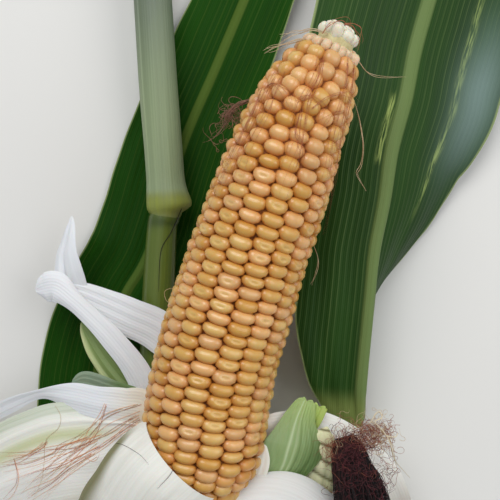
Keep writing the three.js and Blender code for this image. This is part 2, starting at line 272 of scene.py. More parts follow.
def fieldOf(material, name):
    return node(material.node_tree, "ShaderNodeAttribute", attribute_name=name).outputs["Fac"]


def grainOf(material):
    return node(material.node_tree, "ShaderNodeUVMap", uv_map="grain").outputs[0]


def placeOf(material):
    return node(material.node_tree, "ShaderNodeTexCoord").outputs["Object"]


# Fine parallel waves across the grain, a gap in mm apart
def veins(grain, gap):
    across = node(grain.id_data, "ShaderNodeSeparateXYZ", {0: grain}).outputs[0]
    return calc("MULTIPLY_ADD", calc("SINE", times(across, 2 * math.pi * 100 / gap)), 0.5)


def coated(material, tone, height, strength, depth=0.0003):
    tree = material.node_tree
    shader = tree.nodes["Principled BSDF"]
    relief = node(tree, "ShaderNodeBump", {"Height": height, "Strength": strength, "Distance": depth})
    tree.links.new(tone, shader.inputs["Base Color"])
    tree.links.new(relief.outputs[0], shader.inputs["Normal"])
    return material


kernelLook = {
    "roughness": 0.33,
    "gloss": 0.8,
    "glow": 0.2,
    "glowReach": (1.0, 0.45, 0.16),
    "glowScale": 0.002,
    "sideSpread": (0.0, 0.38),  # heights at which the flank, painted shade in the furrows between kernels, turns to the side's colour
    "crownSpread": (0.5, 1.05),
    # the pale rim round each dent is painted highlight, the darker pit is painted shade
    "dentRimHighlight": (240, 214, 140),
    "dentPitShade": (190, 134, 52),
}


def kernelSkin(name, crown, side, flank):
    look = kernelLook
    material = startFinish(
        name, look["roughness"], Subsurface_Weight=look["glow"], Subsurface_Radius=look["glowReach"],
        Subsurface_Scale=look["glowScale"], Specular_IOR_Level=look["gloss"],
    )
    place = placeOf(material)
    height = fieldOf(material, "crown")
    pit = fieldOf(material, "dent")
    blotch = spread(noise(place, 240.0, 2.0), 0.4, 0.7)
    tone = layered(
        # darker towards each kernel's foot: the flank tone is painted shade in the furrows
        blended(spread(height, *look["sideSpread"]), colour(*flank), colour(*side)),
        (spread(height, *look["crownSpread"]), crown),
        (times(blotch, 0.3), side),
        # painted highlight round the dent and painted shade in its pit
        (times(spread(pit, 0.02, 0.3), 0.22), look["dentRimHighlight"]),
        (times(spread(pit, 0.5, 1.0), 0.4), look["dentPitShade"]),
    )
    return coated(material, tone, noise(place, 1500.0), 0.1)


# Tones of a husk: its base and veins, and the coats of its masks "green", "tan" and "lime"; on some husks the
# "tan" and "green" coats are painted shade
huskTones = {
    "base": (244, 240, 230),
    "vein": (208, 204, 184),
    "green": (158, 176, 118),
    "tan": (196, 170, 120),
    "lime": (196, 204, 128),
    "contrast": 0.6,
    "roughness": 0.5,
    "veinGap": 1.25,
    "glow": 0.06,
    "glowScale": 0.002,
}


def huskSkin(name, **changes):
    look = {**huskTones, **changes}
    contrast = look["contrast"]
    glow = {"Subsurface_Weight": look["glow"], "Subsurface_Scale": look["glowScale"]}
    material = startFinish(name, look["roughness"], **glow)
    grain = grainOf(material)
    fine = veins(grain, look["veinGap"])
    streak = streaks(grain, (70.0, 1.2, 1.0), 4.0, 0.36, 0.74)
    broad = streaks(grain, (12.0, 0.9, 1.0), 2.0, 0.35, 0.75)
    patchy = times(fieldOf(material, "green"), calc("ADD", times(streak, 0.45), 0.55))
    tone = layered(
        blended(times(streak, 0.4 * contrast), colour(*look["base"]), colour(*look["vein"])),
        (times(broad, 0.3 * contrast), look["vein"]),
        (patchy, look["green"]),
        (fieldOf(material, "lime"), look["lime"]),
        (fieldOf(material, "tan"), look["tan"]),
    )
    tone = blended(times(times(fine, streak), 0.16 * contrast), tone, colour(*look["vein"]), "MULTIPLY")
    return coated(material, tone, calc("ADD", times(fine, 0.5), times(streak, 0.5)), 0.25 * contrast)


leafTones = {
    "veinGaps": (2.5, 0.82),
    "lesion": (148, 166, 92),
    # grey-blue patch on the ear leaf's right side: painted reflection of the sky
    "paintedSheen": (124, 146, 140),
    "collar": (126, 140, 76),
    "margin": (150, 165, 110),
    "roughness": 0.5,
}


def leafSkin(name, deep, fresh, rib, sheen=0.22):
    material = startFinish(name, leafTones["roughness"], Specular_IOR_Level=sheen)
    grain = grainOf(material)
    coarse, fine = (veins(grain, gap) for gap in leafTones["veinGaps"])
    broad = streaks(grain, (6.0, 0.9, 1.0), 3.0, 0.3, 0.75)
    uneven = streaks(grain, (45.0, 0.4, 1.0), 2.0, 0.38, 0.66)
    patch = streaks(grain, (120.0, 9.0, 1.0), 3.0, 0.42, 0.6)
    tone = layered(
        blended(broad, colour(*deep), colour(*fresh)),
        (times(times(calc("POWER", coarse, 9.0), uneven), 0.42), rib),
        (times(fine, 0.08), rib),
        (times(patch, fieldOf(material, "streak")), leafTones["lesion"]),
        # painted sheen of reflected sky
        (times(fieldOf(material, "paintedSheen"), 0.85), leafTones["paintedSheen"]),
        (fieldOf(material, "rib"), rib),
        (fieldOf(material, "collar"), leafTones["collar"]),
        (fieldOf(material, "margin"), leafTones["margin"]),
    )
    rough = calc("MULTIPLY_ADD", broad, 0.14, leafTones["roughness"] - 0.06)
    material.node_tree.links.new(rough, material.node_tree.nodes["Principled BSDF"].inputs["Roughness"])
    return coated(material, tone, calc("ADD", coarse, times(fine, 0.6)), 0.3)


stemTones = {"stripe": 0.25, "ring": (146, 156, 66), "speck": (52, 44, 28)}


def stemSkin(name, low, high, spot, roughness, stripe=stemTones["stripe"], specks=0.0):
    material = startFinish(name, roughness)
    place = placeOf(material)
    lines = streaks(grainOf(material), (60.0, 0.8, 1.0), 3.0, 0.3, 0.7)
    cloud = streaks(place, (90.0, 22.0, 90.0), 3.0, 0.3, 0.7)
    dots = spread(noise(place, 330.0, 1.0), 0.76, 0.79)
    tone = layered(
        blended(fieldOf(material, "green"), colour(*low), colour(*high)),
        (times(cloud, 0.3), high),
        (fieldOf(material, "ring"), stemTones["ring"]),
        (times(lines, stripe), spot),
        (fieldOf(material, "tan"), spot),
        (times(dots, specks), stemTones["speck"]),
    )
    return coated(material, tone, lines, 0.3)


def plainSkin(name, tone, other, roughness, scale=300.0, **fixed):
    material = startFinish(name, roughness, **fixed)
    place = placeOf(material)
    mixed = blended(spread(noise(place, scale), 0.3, 0.7), colour(*tone), colour(*other))
    return coated(material, mixed, noise(place, scale * 5), 0.25)


# Leaves and husks. A station gives x, y, z, half width, turn, curl of the margins,
# and the fold of its left and right half. Zeros at its end are left out.
def bladeGrid(stations, t, u):
    values, _, side, normal = frames(stations, t)
    turn = np.radians(values[:, 4:5])
    curl = np.radians(values[:, 5:6])
    right = side * np.cos(turn) + normal * np.sin(turn)
    face = normal * np.cos(turn) - side * np.sin(turn)
    fold = np.radians(np.where(u < 0, values[:, 6:7], values[:, 7:8]))
    hand = np.sign(u)
    bent = np.where(np.abs(curl) < 1e-4, 1e-4, curl)
    slope = fold + bent * np.abs(u)
    out = values[:, 3:4] * (np.sin(slope) - np.sin(fold)) / bent
    rise = values[:, 3:4] * (np.cos(fold) - np.cos(slope)) / bent
    place = values[:, None, :3] + (hand * out)[..., None] * right[:, None] + rise[..., None] * face[:, None]
    lean = (-hand * np.sin(slope))[..., None] * right[:, None] + np.cos(slope)[..., None] * face[:, None]
    return place, unit(lean)


# Relief of a blade in mm: fine veins, lengthwise pleats and waves that grow towards the margins
def bladeRelief(shape, u, v, run):
    start = shape.get("phase", 0)
    lift = shape["vein"] * np.cos(2 * np.pi * v / shape["gap"])
    for k, (waves, height) in enumerate(shape.get("pleats", [])):
        lift = lift + height * np.cos(np.pi * u * waves + 0.012 * run * (k + 1) + 1.9 * k + start)
    for place, width, height in shape.get("ridges", []):
        lift = lift + height * bell(u, place, width)
    if "bulges" in shape:
        length, height, tilt = shape["bulges"]
        lift = lift + height * np.abs(np.sin(np.pi * run / length + tilt * u)) ** 0.6
    for k, (length, height) in enumerate(shape.get("ripples", [])):
        phase = 2.4 * k + start + np.where(u > 0, 1.3, 0)
        lift = lift + height * np.abs(u) ** 1.7 * np.sin(2 * np.pi * run / length + phase)
    return lift


# Slides the rows along a blade: "bow" moves its middle on near the foot, "torn" draws the tip back unevenly
def slideRows(grid, shape, t, u):
    uneven = 0.55 + 0.3 * np.sin(5.3 * u + 1) + 0.15 * np.sin(17 * u)
    late = t[:, None] + shape.get("bow", 0) * (1 - u ** 2) * (1 - t[:, None])
    late = late - shape.get("torn", 0) * t[:, None] ** 6 * uneven
    for j in range(u.shape[1]):
        for axis in range(3):
            grid[:, j, axis] = np.interp(late[:, j], t, grid[:, j, axis])


# Faces that close the edges between a blade's upper and lower layer
def rimFaces(rows, columns):
    layer = rows * columns
    foot = layer - columns
    faces = []
    for a in range(0, foot, columns):
        b = a + columns
        c, d = b - 1, b + columns - 1
        faces += [[a, b, b + layer, a + layer], [c, c + layer, d + layer, d]]
    for j in range(columns - 1):
        k = foot + j
        faces += [[j, j + layer, j + 1 + layer, j + 1], [k, k + 1, k + 1 + layer, k + layer]]
    return faces


bladeEnds = {
    "roundTip": 0.05,  # share of the length that rounds off at a tip
    "tornTip": 0.015,
    "smoothFoot": 0.04,  # share of the length over which the relief sets in
    "smoothWidth": 6,  # half width in mm up to which it is weaker
    "fullWidth": 0.45,  # share of the widest half width from which the rib is whole
}


def bladePiece(name, stations, shape, finish):
    t = np.linspace(0, 1, shape["steps"] + 1)
    u = np.linspace(-1, 1, shape["across"] + 1)[None, :]
    run = runOf(stations, t)[:, None]
    share = run / run[-1, 0]
    half = along(stations, t)[:, 3:4]
    v = u * half
    ragged = 1 + shape.get("ragged", 0) * (np.sin(run / 5.3) + np.sin(run / 2.9 + 1))
    tip = bladeEnds["tornTip" if "torn" in shape else "roundTip"]
    rounded = np.sqrt(1 - 0.98 * np.clip((share - 1 + tip) / tip, 0, 1) ** 2)
    place, lean = bladeGrid(stations, t, u)
    if "bow" in shape or "torn" in shape:
        slideRows(place, shape, t, u)
        slideRows(lean, shape, t, u)
    spine = place[:, shape["across"] // 2][:, None]
    place = spine + (place - spine) * (ragged * rounded)[..., None]
    thick = shape["thickness"] * (1 - 0.6 * np.abs(u) ** 8) + 0 * run
    lift = bladeRelief(shape, u, v, run) * smoothStep(0, bladeEnds["smoothWidth"], half)
    lift = lift * smoothStep(0, bladeEnds["smoothFoot"], share)
    fullness = half / (half.max() * bladeEnds["fullWidth"])
    ribWidth, ribHeight = shape.get("rib", (1, 0))
    ribWidth = ribWidth * np.clip(fullness, 0.25, 1)
    ribRise = ribHeight * np.clip(1 - (v / ribWidth) ** 2, 0, 1) ** 0.8 * np.clip(fullness, 0.15, 1)
    top = place + lean * (lift + thick / 2 + ribRise)[..., None]
    bottom = place + lean * (lift - thick / 2 - 0.4 * ribRise)[..., None]
    rows, columns = top.shape[:2]
    faces = gridFaces(rows, columns) + gridFaces(rows, columns, rows * columns, flip=True)
    uv = np.stack([v / 100, np.broadcast_to(run, v.shape) / 100], axis=-1).reshape(-1, 2)
    masks = {key: rule(u, share) + 0 * v for key, rule in shape.get("masks", {}).items()}
    if ribHeight:
        masks["rib"] = smoothStep(1.15, 0.75, np.abs(v) / ribWidth)
    masks = {key: np.tile(np.clip(value, 0, 1).ravel(), 2) for key, value in masks.items()}
    points = np.concatenate([top.reshape(-1, 3), bottom.reshape(-1, 3)])
    return meshOf(name, points, faces + rimFaces(rows, columns), finish, np.tile(uv, (2, 1)), masks)


# Round limbs
def turnAngles(sides):
    return np.arange(sides) * 2 * np.pi / sides


def tubeGrid(stations, t, angles, radius):
    values, _, side, normal = frames(stations, t)
    ring = side[:, None] * np.cos(angles)[None, :, None] + normal[:, None] * np.sin(angles)[None, :, None]
    return values[:, None, :3] + ring * radius[..., None]


# A closed tube, solid with two caps, or with an inner wall and a rim at each end
def tubePiece(name, grid, finish, masks=None, uv=None, inner=None, cutFinish=None):
    rows, columns = grid.shape[:2]
    points = grid.reshape(-1, 3)
    uv = None if uv is None else uv.reshape(-1, 2)
    faces = gridFaces(rows, columns, wrap=True)
    last = (rows - 1) * columns
    if inner is None:
        caps = [list(range(columns)), list(range(last + columns - 1, last - 1, -1))]
    else:
        layer = rows * columns
        points = np.concatenate([points, inner.reshape(-1, 3)])
        faces += gridFaces(rows, columns, layer, wrap=True, flip=True)
        masks = {key: np.tile(value, (2, 1)) for key, value in masks.items()}
        uv = np.tile(uv, (2, 1))
        caps = []
        for j in range(columns):
            k = (j + 1) % columns
            caps += [[j, j + layer, k + layer, k], [last + j, last + k, last + k + layer, last + j + layer]]
    piece = meshOf(name, points, faces + caps, finish, uv, masks)
    if cutFinish:
        piece.data.materials.append(cutFinish)
        for face in piece.data.polygons[len(faces):]:
            face.material_index = 1
    return piece


# A plain round core under other pieces: how many rings and sides, and its radius from that of the path
def corePiece(name, stations, rings, sides, finish, radiusOf):
    t = np.linspace(0, 1, rings)
    angles = turnAngles(sides)
    radius = radiusOf(along(stations, t)[:, 3:4], angles[None, :]) + 0 * angles
    return tubePiece(name, tubeGrid(stations, t, angles, radius), finish)


# Stalk: bare below its upper node, with a swollen lower node that carries the ear
stalkLine = [
    [-45.5, -216, 10.6, 7.4], [-45, -190, 11.4, 7.3], [-44, -165, 12.2, 7.2], [-43.8, -159, 12.4, 8.2],
    [-43.8, -154, 12.5, 9.6], [-43.7, -149, 12.7, 8.4], [-43.5, -142, 12.9, 7.1], [-42.4, -66, 14.3, 7.1],
    [-40.7, -22, 15, 7.1], [-38.9, 10, 15.5, 6.6], [-37.2, 20, 15.7, 6.6], [-40, 66, 16.4, 6.6],
    [-46, 165, 17.9, 6.6],
]
stalk = {
    "steps": 200,
    "sides": 72,
    "bareTone": (122, 140, 60),
    "shadeTone": (88, 106, 38),
    "spotTone": (58, 76, 32),
    "cutTone": (214, 208, 166),
    "cutShade": (176, 176, 120),
    "ribs": 44,
    "ribHeight": 0.05,
    "collar": (-154, 2.2),  # place and width of the lower node's swelling
    "collarKnobs": (9, 0.25),  # how many and how high
    "neck": (-160.5, 1.2, 0.35),  # place, width and depth of the ring below it
    "groove": (0.7, 0.5, 0.6),  # angle, width and depth of the furrow above it
    "grooveRun": (-150, -130, -60, 0),  # where it starts, is whole, fades and ends
    "shade": (12.4, 2.6, 0.8),  # place, width and strength of the painted shade band under the upper node
    "slant": 0.9,  # how far that node's ring rises on its right
}
sheath = {
    "sides": 144,
    "tones": ((100, 112, 99), (150, 166, 126), (104, 116, 84)),
    "wall": 1.76,
    "smoothings": 3,
    "shift": 0.5,  # to the right, near the upper node
    "shiftRun": (80, 40),
    "ribHeight": 0.07,
    "ribRun": (22, 27),
    "seam": (0.45, 0.05, 1.6),  # height of the overlap, and the angles of its steep and its long side
    "gap": 0.12,  # between the stalk and the upper sheath's closed foot
    "closedRun": (18.4, 15.2),
    "slantRun": (26, 16),
    "leastWall": 0.3,
    "lip": (19.2, 2.6, 6.5, 2.3),  # place, reach below and above it, how far it stands out
    "pieces": {  # a profile gives the place along the stalk and the radius
        "upper_sheath": {
            "profile": [[14.8, 7.2], [16.4, 7.9], [18.6, 8.7], [21, 8.9], [24.5, 8.6], [31, 8.2], [46, 8.2],
                        [66, 8.3], [115, 8.2], [165, 8]],
            "steps": 112,
            "seam": 2.4,
            "masks": {
                "green": lambda y: smoothStep(120, 50, y),
                # darker at its foot: painted shade beside the node's ring; also a faint darker line higher up
                "tan": lambda y: 0.5 * smoothStep(17.0, 15.0, y) + 0.2 * bell(y, 23.6, 1.1),
                "ring": lambda y: smoothStep(27, 22.5, y),
            },
        },
        "lower_sheath": {
            "profile": [[-216, 9], [-190, 9], [-168, 9.4]],
            "steps": 30,
            "seam": 3.4,
            "masks": {"green": lambda y: 0.4, "ring": lambda y: 0.5},
        },
    },
}


def stalkShare(y):
    t = np.linspace(0, 1, 2000)
    return np.interp(y, along(stalkLine, t)[:, 1], t)


def cylinderGrain(run, angles, radius):
    across = angles[None, :] * radius / 100 + 0 * run[:, None]
    return np.stack([across, run[:, None] / 100 + 0 * across], axis=-1)


def makeStalk():
    t = np.linspace(0, 1, stalk["steps"] + 1)
    angles = turnAngles(stalk["sides"])
    y = along(stalkLine, t)[:, 1:2]
    collar = bell(y, *stalk["collar"])
    knobs, knobHeight = stalk["collarKnobs"]
    neckAt, neckWidth, neckDepth = stalk["neck"]
    grooveAt, grooveWidth, grooveDepth = stalk["groove"]
    starts, whole, fades, ends = stalk["grooveRun"]
    shadeAt, shadeWidth, shadeShare = stalk["shade"]
    radius = along(stalkLine, t)[:, 3:4] + stalk["ribHeight"] * np.cos(angles * stalk["ribs"])
    radius = radius - neckDepth * bell(y, neckAt, neckWidth) + knobHeight * collar * np.cos(angles * knobs)
    groove = bell(angles, grooveAt, grooveWidth) * smoothStep(starts, whole, y) * smoothStep(ends, fades, y)
    radius = radius - grooveDepth * groove
    shade = shadeShare * bell(y - stalk["slant"] * np.cos(angles), shadeAt, shadeWidth)
    # "green" darkens the stalk towards its sides into shadeTone, painted shade; "tan" is the lower node's own
    # tint plus the painted shade band under the upper node
    masks = {"green": 0.5 + 0.5 * np.cos(angles) ** 2 + 0 * y, "tan": 0.25 * collar + shade}
    bare = stemSkin("stalkSkin", stalk["bareTone"], stalk["shadeTone"], stalk["spotTone"], 0.3, specks=0.7)
    pith = plainSkin("cutPith", stalk["cutTone"], stalk["cutShade"], 0.7, 900.0)
    grain = cylinderGrain(runOf(stalkLine, t), angles, 7.0)
    grid = tubeGrid(stalkLine, t, angles, radius)
    own(tubePiece("stalk_stem", grid, bare, masks, grain, cutFinish=pith), "stalk", "stalk")


def makeSheath(name, rule, finish):
    places, radii = zip(*rule["profile"])
    y = np.linspace(places[0], places[-1], rule["steps"] + 1)[:, None]
    t = stalkShare(y[:, 0])
    angles = turnAngles(sheath["sides"])
    outer = np.interp(y, places, radii)
    for _ in range(sheath["smoothings"]):
        outer[1:-1] = (outer[:-2] + 2 * outer[1:-1] + outer[2:]) / 4
    height = np.abs(y)
    ribs = sheath["ribHeight"] * np.cos(angles * stalk["ribs"]) * smoothStep(*sheath["ribRun"], height)
    seam = rule["seam"]
    lapHeight, steep, slow = sheath["seam"]
    lap = lapHeight * (smoothStep(seam, seam + steep, angles) - smoothStep(seam, seam + slow, angles))
    lipAt, below, above, lipReach = sheath["lip"]
    lip = lipReach * bell(y, lipAt, np.where(y < lipAt, below, above)) * np.clip(np.cos(angles), 0, 1) ** 1.5
    shift = sheath["shift"] * smoothStep(*sheath["shiftRun"], height) * np.cos(angles)
    stem = along(stalkLine, t)[:, 3:4]
    radius = outer + ribs + lap + lip + shift
    radius = radius + (stem + sheath["gap"] - radius) * smoothStep(*sheath["closedRun"], height)
    inner = np.maximum(stem + sheath["leastWall"], outer - sheath["wall"])
    inner = np.minimum(inner, radius - sheath["leastWall"])
    masks = {key: mask(y) + 0 * radius for key, mask in rule["masks"].items()}
    slant = np.zeros((*radius.shape, 3))
    slant[..., 1] = stalk["slant"] * smoothStep(*sheath["slantRun"], y) * np.cos(angles)
    outerGrid, innerGrid = (tubeGrid(stalkLine, t, angles, wall) + slant for wall in (radius, inner))
    grain = cylinderGrain(y[:, 0] - y[0, 0], angles, 9.0)
    own(tubePiece(f"{name}_shell", outerGrid, finish, masks, grain, innerGrid), "sheath", name)


makeStalk()
sheathSkin = stemSkin("sheathSkin", *sheath["tones"], 0.5, 0.35)
for sheathName, sheathRule in sheath["pieces"].items():
    makeSheath(sheathName, sheathRule, sheathSkin)
print("stage: stalk and sheaths")


# Ear: its axis from the foot to the tip, with the radius of the mean surface
earLine = [
    [-23.2, -104, 48, 8], [-22.5, -99.5, 48.4, 14.4], [-21.7, -94, 48.9, 19], [-20.5, -86, 49.6, 22.4],
    [-19, -77, 50.5, 23.9], [-16.9, -60.5, 52, 24.2], [-12.4, -40, 54, 24], [-6.4, -20, 56, 23.7],
    [0.4, 2, 58.5, 22.7], [7, 20, 60.5, 22.3], [15.3, 43.2, 62.5, 20.5], [23, 60.5, 64.5, 17.9],
    [28.3, 71, 65.2, 14.4], [32, 78.6, 65.7, 9.8],
]
ear = {
    "rows": 16,
    "firstRow": math.radians(11.25),
    "crownRise": 1.1,
    "coreSink": 2.0,
    # the cob core shows only in the gaps between kernels; its dark tones are painted shade there
    "coreTone": (146, 84, 38),
    "coreShade": (116, 62, 27),
    # run and mm per kernel
    "pitch": [(0, 5.6), (22, 4.9), (100, 4.8), (128, 5.2), (150, 5.8), (175, 6.4), (215, 6.5)],
    "footRings": [(2.6, 8), (8.4, 12), (14.2, 15)],  # run, kernels
    "footHalf": 3.3,  # half length of a kernel there
    "footWide": (0.98, 1.12),
    "footStray": (0.14, 0.7),  # round the ring, as a share of a kernel, and along the ear in mm
    "rowsStart": 19.0,
    "rowsLeast": 0.985,  # share of a tip kernel's width below which the rows end
    "stagger": 2.45,  # between neighbouring rows
    "sway": (0.03, 24, 0.8),  # angle, length and start of the slow wave in each row
    "drift": (0.8, 31),  # height and length of the wave in the kernels' spacing
    "jitter": (0.34, 0.012),  # along the row in mm, and as an angle
    "tipStart": 1.8,  # from the last row to the rings of the tip
    "tipRing": 6.1,
    "tipKernel": 7.4,
    "tipHalf": (3.6, 3.4),  # half width and half length of a kernel there
    "tipWide": (0.95, 1.02),
    "tipStray": (0.1, 0.6),
    "tipEnd": 0.5,  # run left free at the end
    "leastGap": 5.3,
    "roundRun": (118, 172),  # over it the kernels turn round
    "roundShare": (0.2, 0.55),  # how unevenly, and the share of that run from which they are round
    "dentedRun": (40, 150),
    "dentedShare": 0.32,
    "lean": math.radians(17),  # of the kernels towards the tip, over the run that follows
    "leanRun": (140, 30),
    "overlap": (1.09, 1.16),
    "plump": (0.95, 1.08),
    "riseStray": (-0.3, 0.2),
    "turnStray": 0.03,
    "seed": 4,
    "unevenness": 0.0003,
    "sizeSpread": 0.04,
    "orangeRun": 34,
    "orangeShare": (0.45, 0.4),  # how common orange is there, and how much more so on the ear's left
    "tipTints": (0.5, 0.9),  # shares of the run over which the tip's tints take over
    "tints": {  # crown, side, and flank, which is painted shade in the furrows between kernels
        "gold": ((216, 171, 88), (202, 138, 61), (148, 80, 28)),
        "peach": ((231, 181, 115), (213, 148, 82), (154, 84, 36)),
        "pale": ((221, 182, 104), (205, 144, 69), (151, 84, 32)),
        "deep": ((211, 161, 73), (195, 129, 50), (140, 74, 23)),
        "rose": ((220, 172, 110), (202, 141, 80), (150, 82, 36)),
        "orange": ((221, 164, 86), (207, 136, 61), (165, 88, 31)),
    },
    "tintShares": {  # how common each tint is low on the ear and at its tip
        "gold": (0.34, 0.24),
        "peach": (0.16, 0.44),
        "pale": (0.28, 0.14),
        "deep": (0.1, 0.02),
        "rose": (0.12, 0.16),
    },
}


# Tables over the ear's length: run over the surface, radius and how fast the radius swells
def earTable():
    t = np.linspace(0, 1, 1200)
    values = along(earLine, t)
    step = np.linalg.norm(np.diff(values[:, :3], axis=0), axis=1)
    run = np.concatenate([[0], np.cumsum(np.hypot(step, np.diff(values[:, 3])))])
    swell = np.gradient(values[:, 3], np.concatenate([[0], np.cumsum(step)]))
    return {"t": t, "run": run, "radius": values[:, 3], "swell": swell}


earRuns = earTable()
earReach = earRuns["run"][-1]


def earValue(key, run):
    return np.interp(run, earRuns["run"], earRuns[key])


def earPlace(run, angle):
    values, tangent, side, normal = frames(earLine, earValue("t", run))
    radial = side * np.cos(angle)[:, None] + normal * np.sin(angle)[:, None]
    swell = earValue("swell", run)[:, None]
    up = unit(tangent + radial * swell)
    out = unit(radial - tangent * swell)
    return values[:, :3] + radial * values[:, 3:4], np.cross(up, out), up, out


def rowMarks(start, end):
    marks = [start - 5]
    while marks[-1] < end + 1:
        marks.append(marks[-1] + np.interp(marks[-1], *zip(*ear["pitch"])))
    return np.array(marks)


plainKind, dentedKind, roundKind, footKind = range(4)  # in the order of kernel["kinds"]


# A seat is a run, an angle, a half width, a half length and a kernel's kind
def footSeats():
    seats = []
    aside, ahead = ear["footStray"]
    for ring, (run, count) in enumerate(ear["footRings"]):
        half = math.pi * earValue("radius", run) / count
        for k in range(count):
            angle = 2 * math.pi * (k + 0.5 * (ring % 2) + stray(aside)) / count
            place = run + stray(ahead)
            wide = half * dice.uniform(*ear["footWide"])
            seats.append([place, angle, wide, ear["footHalf"], footKind])
    return seats


def rowSeats(row, rowsEnd):
    seats = []
    base = ear["firstRow"] + 2 * math.pi * row / ear["rows"]
    marks = rowMarks(ear["rowsStart"] + ear["stagger"] * (row % 2), rowsEnd)
    driftHeight, driftLength = ear["drift"]
    jitter, angleJitter = ear["jitter"]
    marks += driftHeight * np.sin(marks / driftLength + dice.uniform(0, 6.28))
    marks += jitter * stray(1, len(marks))
    edges = (marks[1:] + marks[:-1]) / 2
    dentedFrom, dentedTo = ear["dentedRun"]
    uneven, roundFrom = ear["roundShare"]
    sway, swayLength, swayStart = ear["sway"]
    for low, high in zip(edges[:-1], edges[1:]):
        run = (low + high) / 2
        kind = plainKind
        if smoothStep(*ear["roundRun"], run) + stray(uneven) > roundFrom:
            kind = roundKind
        elif dice.uniform() < ear["dentedShare"] and dentedFrom < run < dentedTo:
            kind = dentedKind
        angle = base + sway * math.sin(run / swayLength + swayStart) + stray(angleJitter)
        seats.append([run, angle, math.pi * earValue("radius", run) / ear["rows"], (high - low) / 2, kind])
    return seats


def nearestSeat(seats, seat, radius):
    placed = np.array(seats)
    turn = (placed[:, 1] - seat[1] + math.pi) % (2 * math.pi) - math.pi
    return np.hypot(placed[:, 0] - seat[0], turn * radius).min()


# Rings of round kernels on the tip; the first keeps its distance from the seats below
def addTipSeats(seats, rowsEnd):
    halfWidth, halfLength = ear["tipHalf"]
    aside, ahead = ear["tipStray"]
    runs = np.arange(rowsEnd + ear["tipStart"], earReach - ear["tipEnd"], ear["tipRing"])
    for ring, run in enumerate(runs):
        radius = earValue("radius", run)
        count = round(2 * math.pi * radius / ear["tipKernel"])
        for k in range(count):
            angle = 2 * math.pi * (k + 0.5 * (ring % 2) + stray(aside)) / count
            place = run + stray(ahead)
            seat = [place, angle, halfWidth * dice.uniform(*ear["tipWide"]), halfLength, roundKind]
            if ring == 0:
                seat[0] += max(0.0, ear["leastGap"] - nearestSeat(seats, seat, radius))
            seats.append(seat)


def kernelSeats():
    widest = np.argmax(earRuns["radius"])
    leastRadius = ear["tipKernel"] * ear["rows"] / (2 * math.pi) * ear["rowsLeast"]
    narrow = earRuns["radius"][widest:] < leastRadius
    rowsEnd = earRuns["run"][widest:][np.argmax(narrow)]
    seats = footSeats()
    for row in range(ear["rows"]):
        seats += rowSeats(row, rowsEnd)
    addTipSeats(seats, rowsEnd)
    return np.array(seats)


# Kernels on a unit outline
kernel = {
    "kinds": {  # corner power, profile power, dent, how far its middle bows to the foot
        "kernelAPlain": (2.5, 0.52, 0.0, 0.24),
        "kernelBDented": (2.5, 0.52, 0.2, 0.24),
        "kernelCRound": (2.1, 0.56, 0.0, 0.0),
        "kernelDFoot": (2.8, 0.44, 0.04, 0.16),
    },
    "heights": (3.0, 3.0, 3.9, 2.5),
    "around": 12,
    "rings": (1.0, 1.0, 0.9, 0.7, 0.44, 0.2),  # the first is the foot
    "footSink": -0.75,
    "footWidth": 0.86,
    "flank": (2.1, 1.7),  # how upright the flanks are lengthwise, and how much more so at the sides
    "dentHalves": (0.56, 0.3),
    "leastDent": 0.1,
}


def kernelTemplate(name, corner, puff, dent, bow):
    around, rings = kernel["around"], kernel["rings"]
    dentWide, dentLong = kernel["dentHalves"]
    upright, more = kernel["flank"]
    dented = dent > kernel["leastDent"]
    phi = turnAngles(around)
    squared = (np.abs(np.cos(phi)) ** corner + np.abs(np.sin(phi)) ** corner) ** (-1 / corner)
    points, crown, pits = [], [], []
    for k, reach in enumerate(rings):
        for angle, out in zip(phi, squared):
            rise = (1 - reach ** (upright + more * math.cos(angle) ** 2)) ** puff
            height = rise if k else kernel["footSink"]
            wide = reach * out * (1 if k else kernel["footWidth"])
            x, y = wide * math.cos(angle), wide * math.sin(angle)
            pit = max(0, 1 - (x / dentWide) ** 2 - (y / dentLong) ** 2) if dented else 0
            points.append((x, y - bow * (0.5 - x * x), height - pit * dent))
            crown.append(max(0.0, height))
            pits.append(pit)
    points.append((0, -bow * 0.5, 1 - dent))
    crown.append(1.0)
    pits.append(1.0 if dented else 0.0)
    faces = gridFaces(len(rings), around, wrap=True)
    top = (len(rings) - 1) * around
    faces += [[top + j, top + (j + 1) % around, len(points) - 1] for j in range(around)]
    faces.append(list(range(around - 1, -1, -1)))
    mesh = bpy.data.meshes.new(name)
    mesh.from_pydata(points, [], faces)
    addField(mesh, "crown", crown)
    addField(mesh, "dent", pits)
    return bpy.data.objects.new(name, mesh)


def kindsOf(name, rules):
    kinds = bpy.data.collections.new(name)
    for kind, rule in rules.items():
        kinds.objects.link(kernelTemplate(kind, *rule))
    return kinds


# A geometry tree with its inputs, given by name and kind
def treeWith(name, sockets):
    tree = bpy.data.node_groups.new(name, "GeometryNodeTree")
    tree.interface.new_socket("Geometry", in_out="INPUT", socket_type="NodeSocketGeometry")
    for label, kind in sockets.items():
        tree.interface.new_socket(label, in_out="INPUT", socket_type="NodeSocket" + kind)
    tree.interface.new_socket("Geometry", in_out="OUTPUT", socket_type="NodeSocketGeometry")
    return tree, tree.nodes.new("NodeGroupInput").outputs, tree.nodes.new("NodeGroupOutput").inputs


def named(tree, name, kind):
    return node(tree, "GeometryNodeInputNamedAttribute", {"Name": name}, data_type=kind).outputs["Attribute"]


def vectorCalc(tree, operation, inputs):
    return node(tree, "ShaderNodeVectorMath", inputs, operation=operation).outputs[0]


def finishGeometry(tree, geometry, material, output):
    whole = node(tree, "GeometryNodeRealizeInstances", {0: geometry}).outputs[0]
    smooth = node(tree, "GeometryNodeSetShadeSmooth", {0: whole}).outputs[0]
    skinned = node(tree, "GeometryNodeSetMaterial", {"Geometry": smooth, "Material": material}).outputs[0]
    tree.links.new(skinned, output)


wobbleScale = 170.0  # of the noise that makes each body uneven


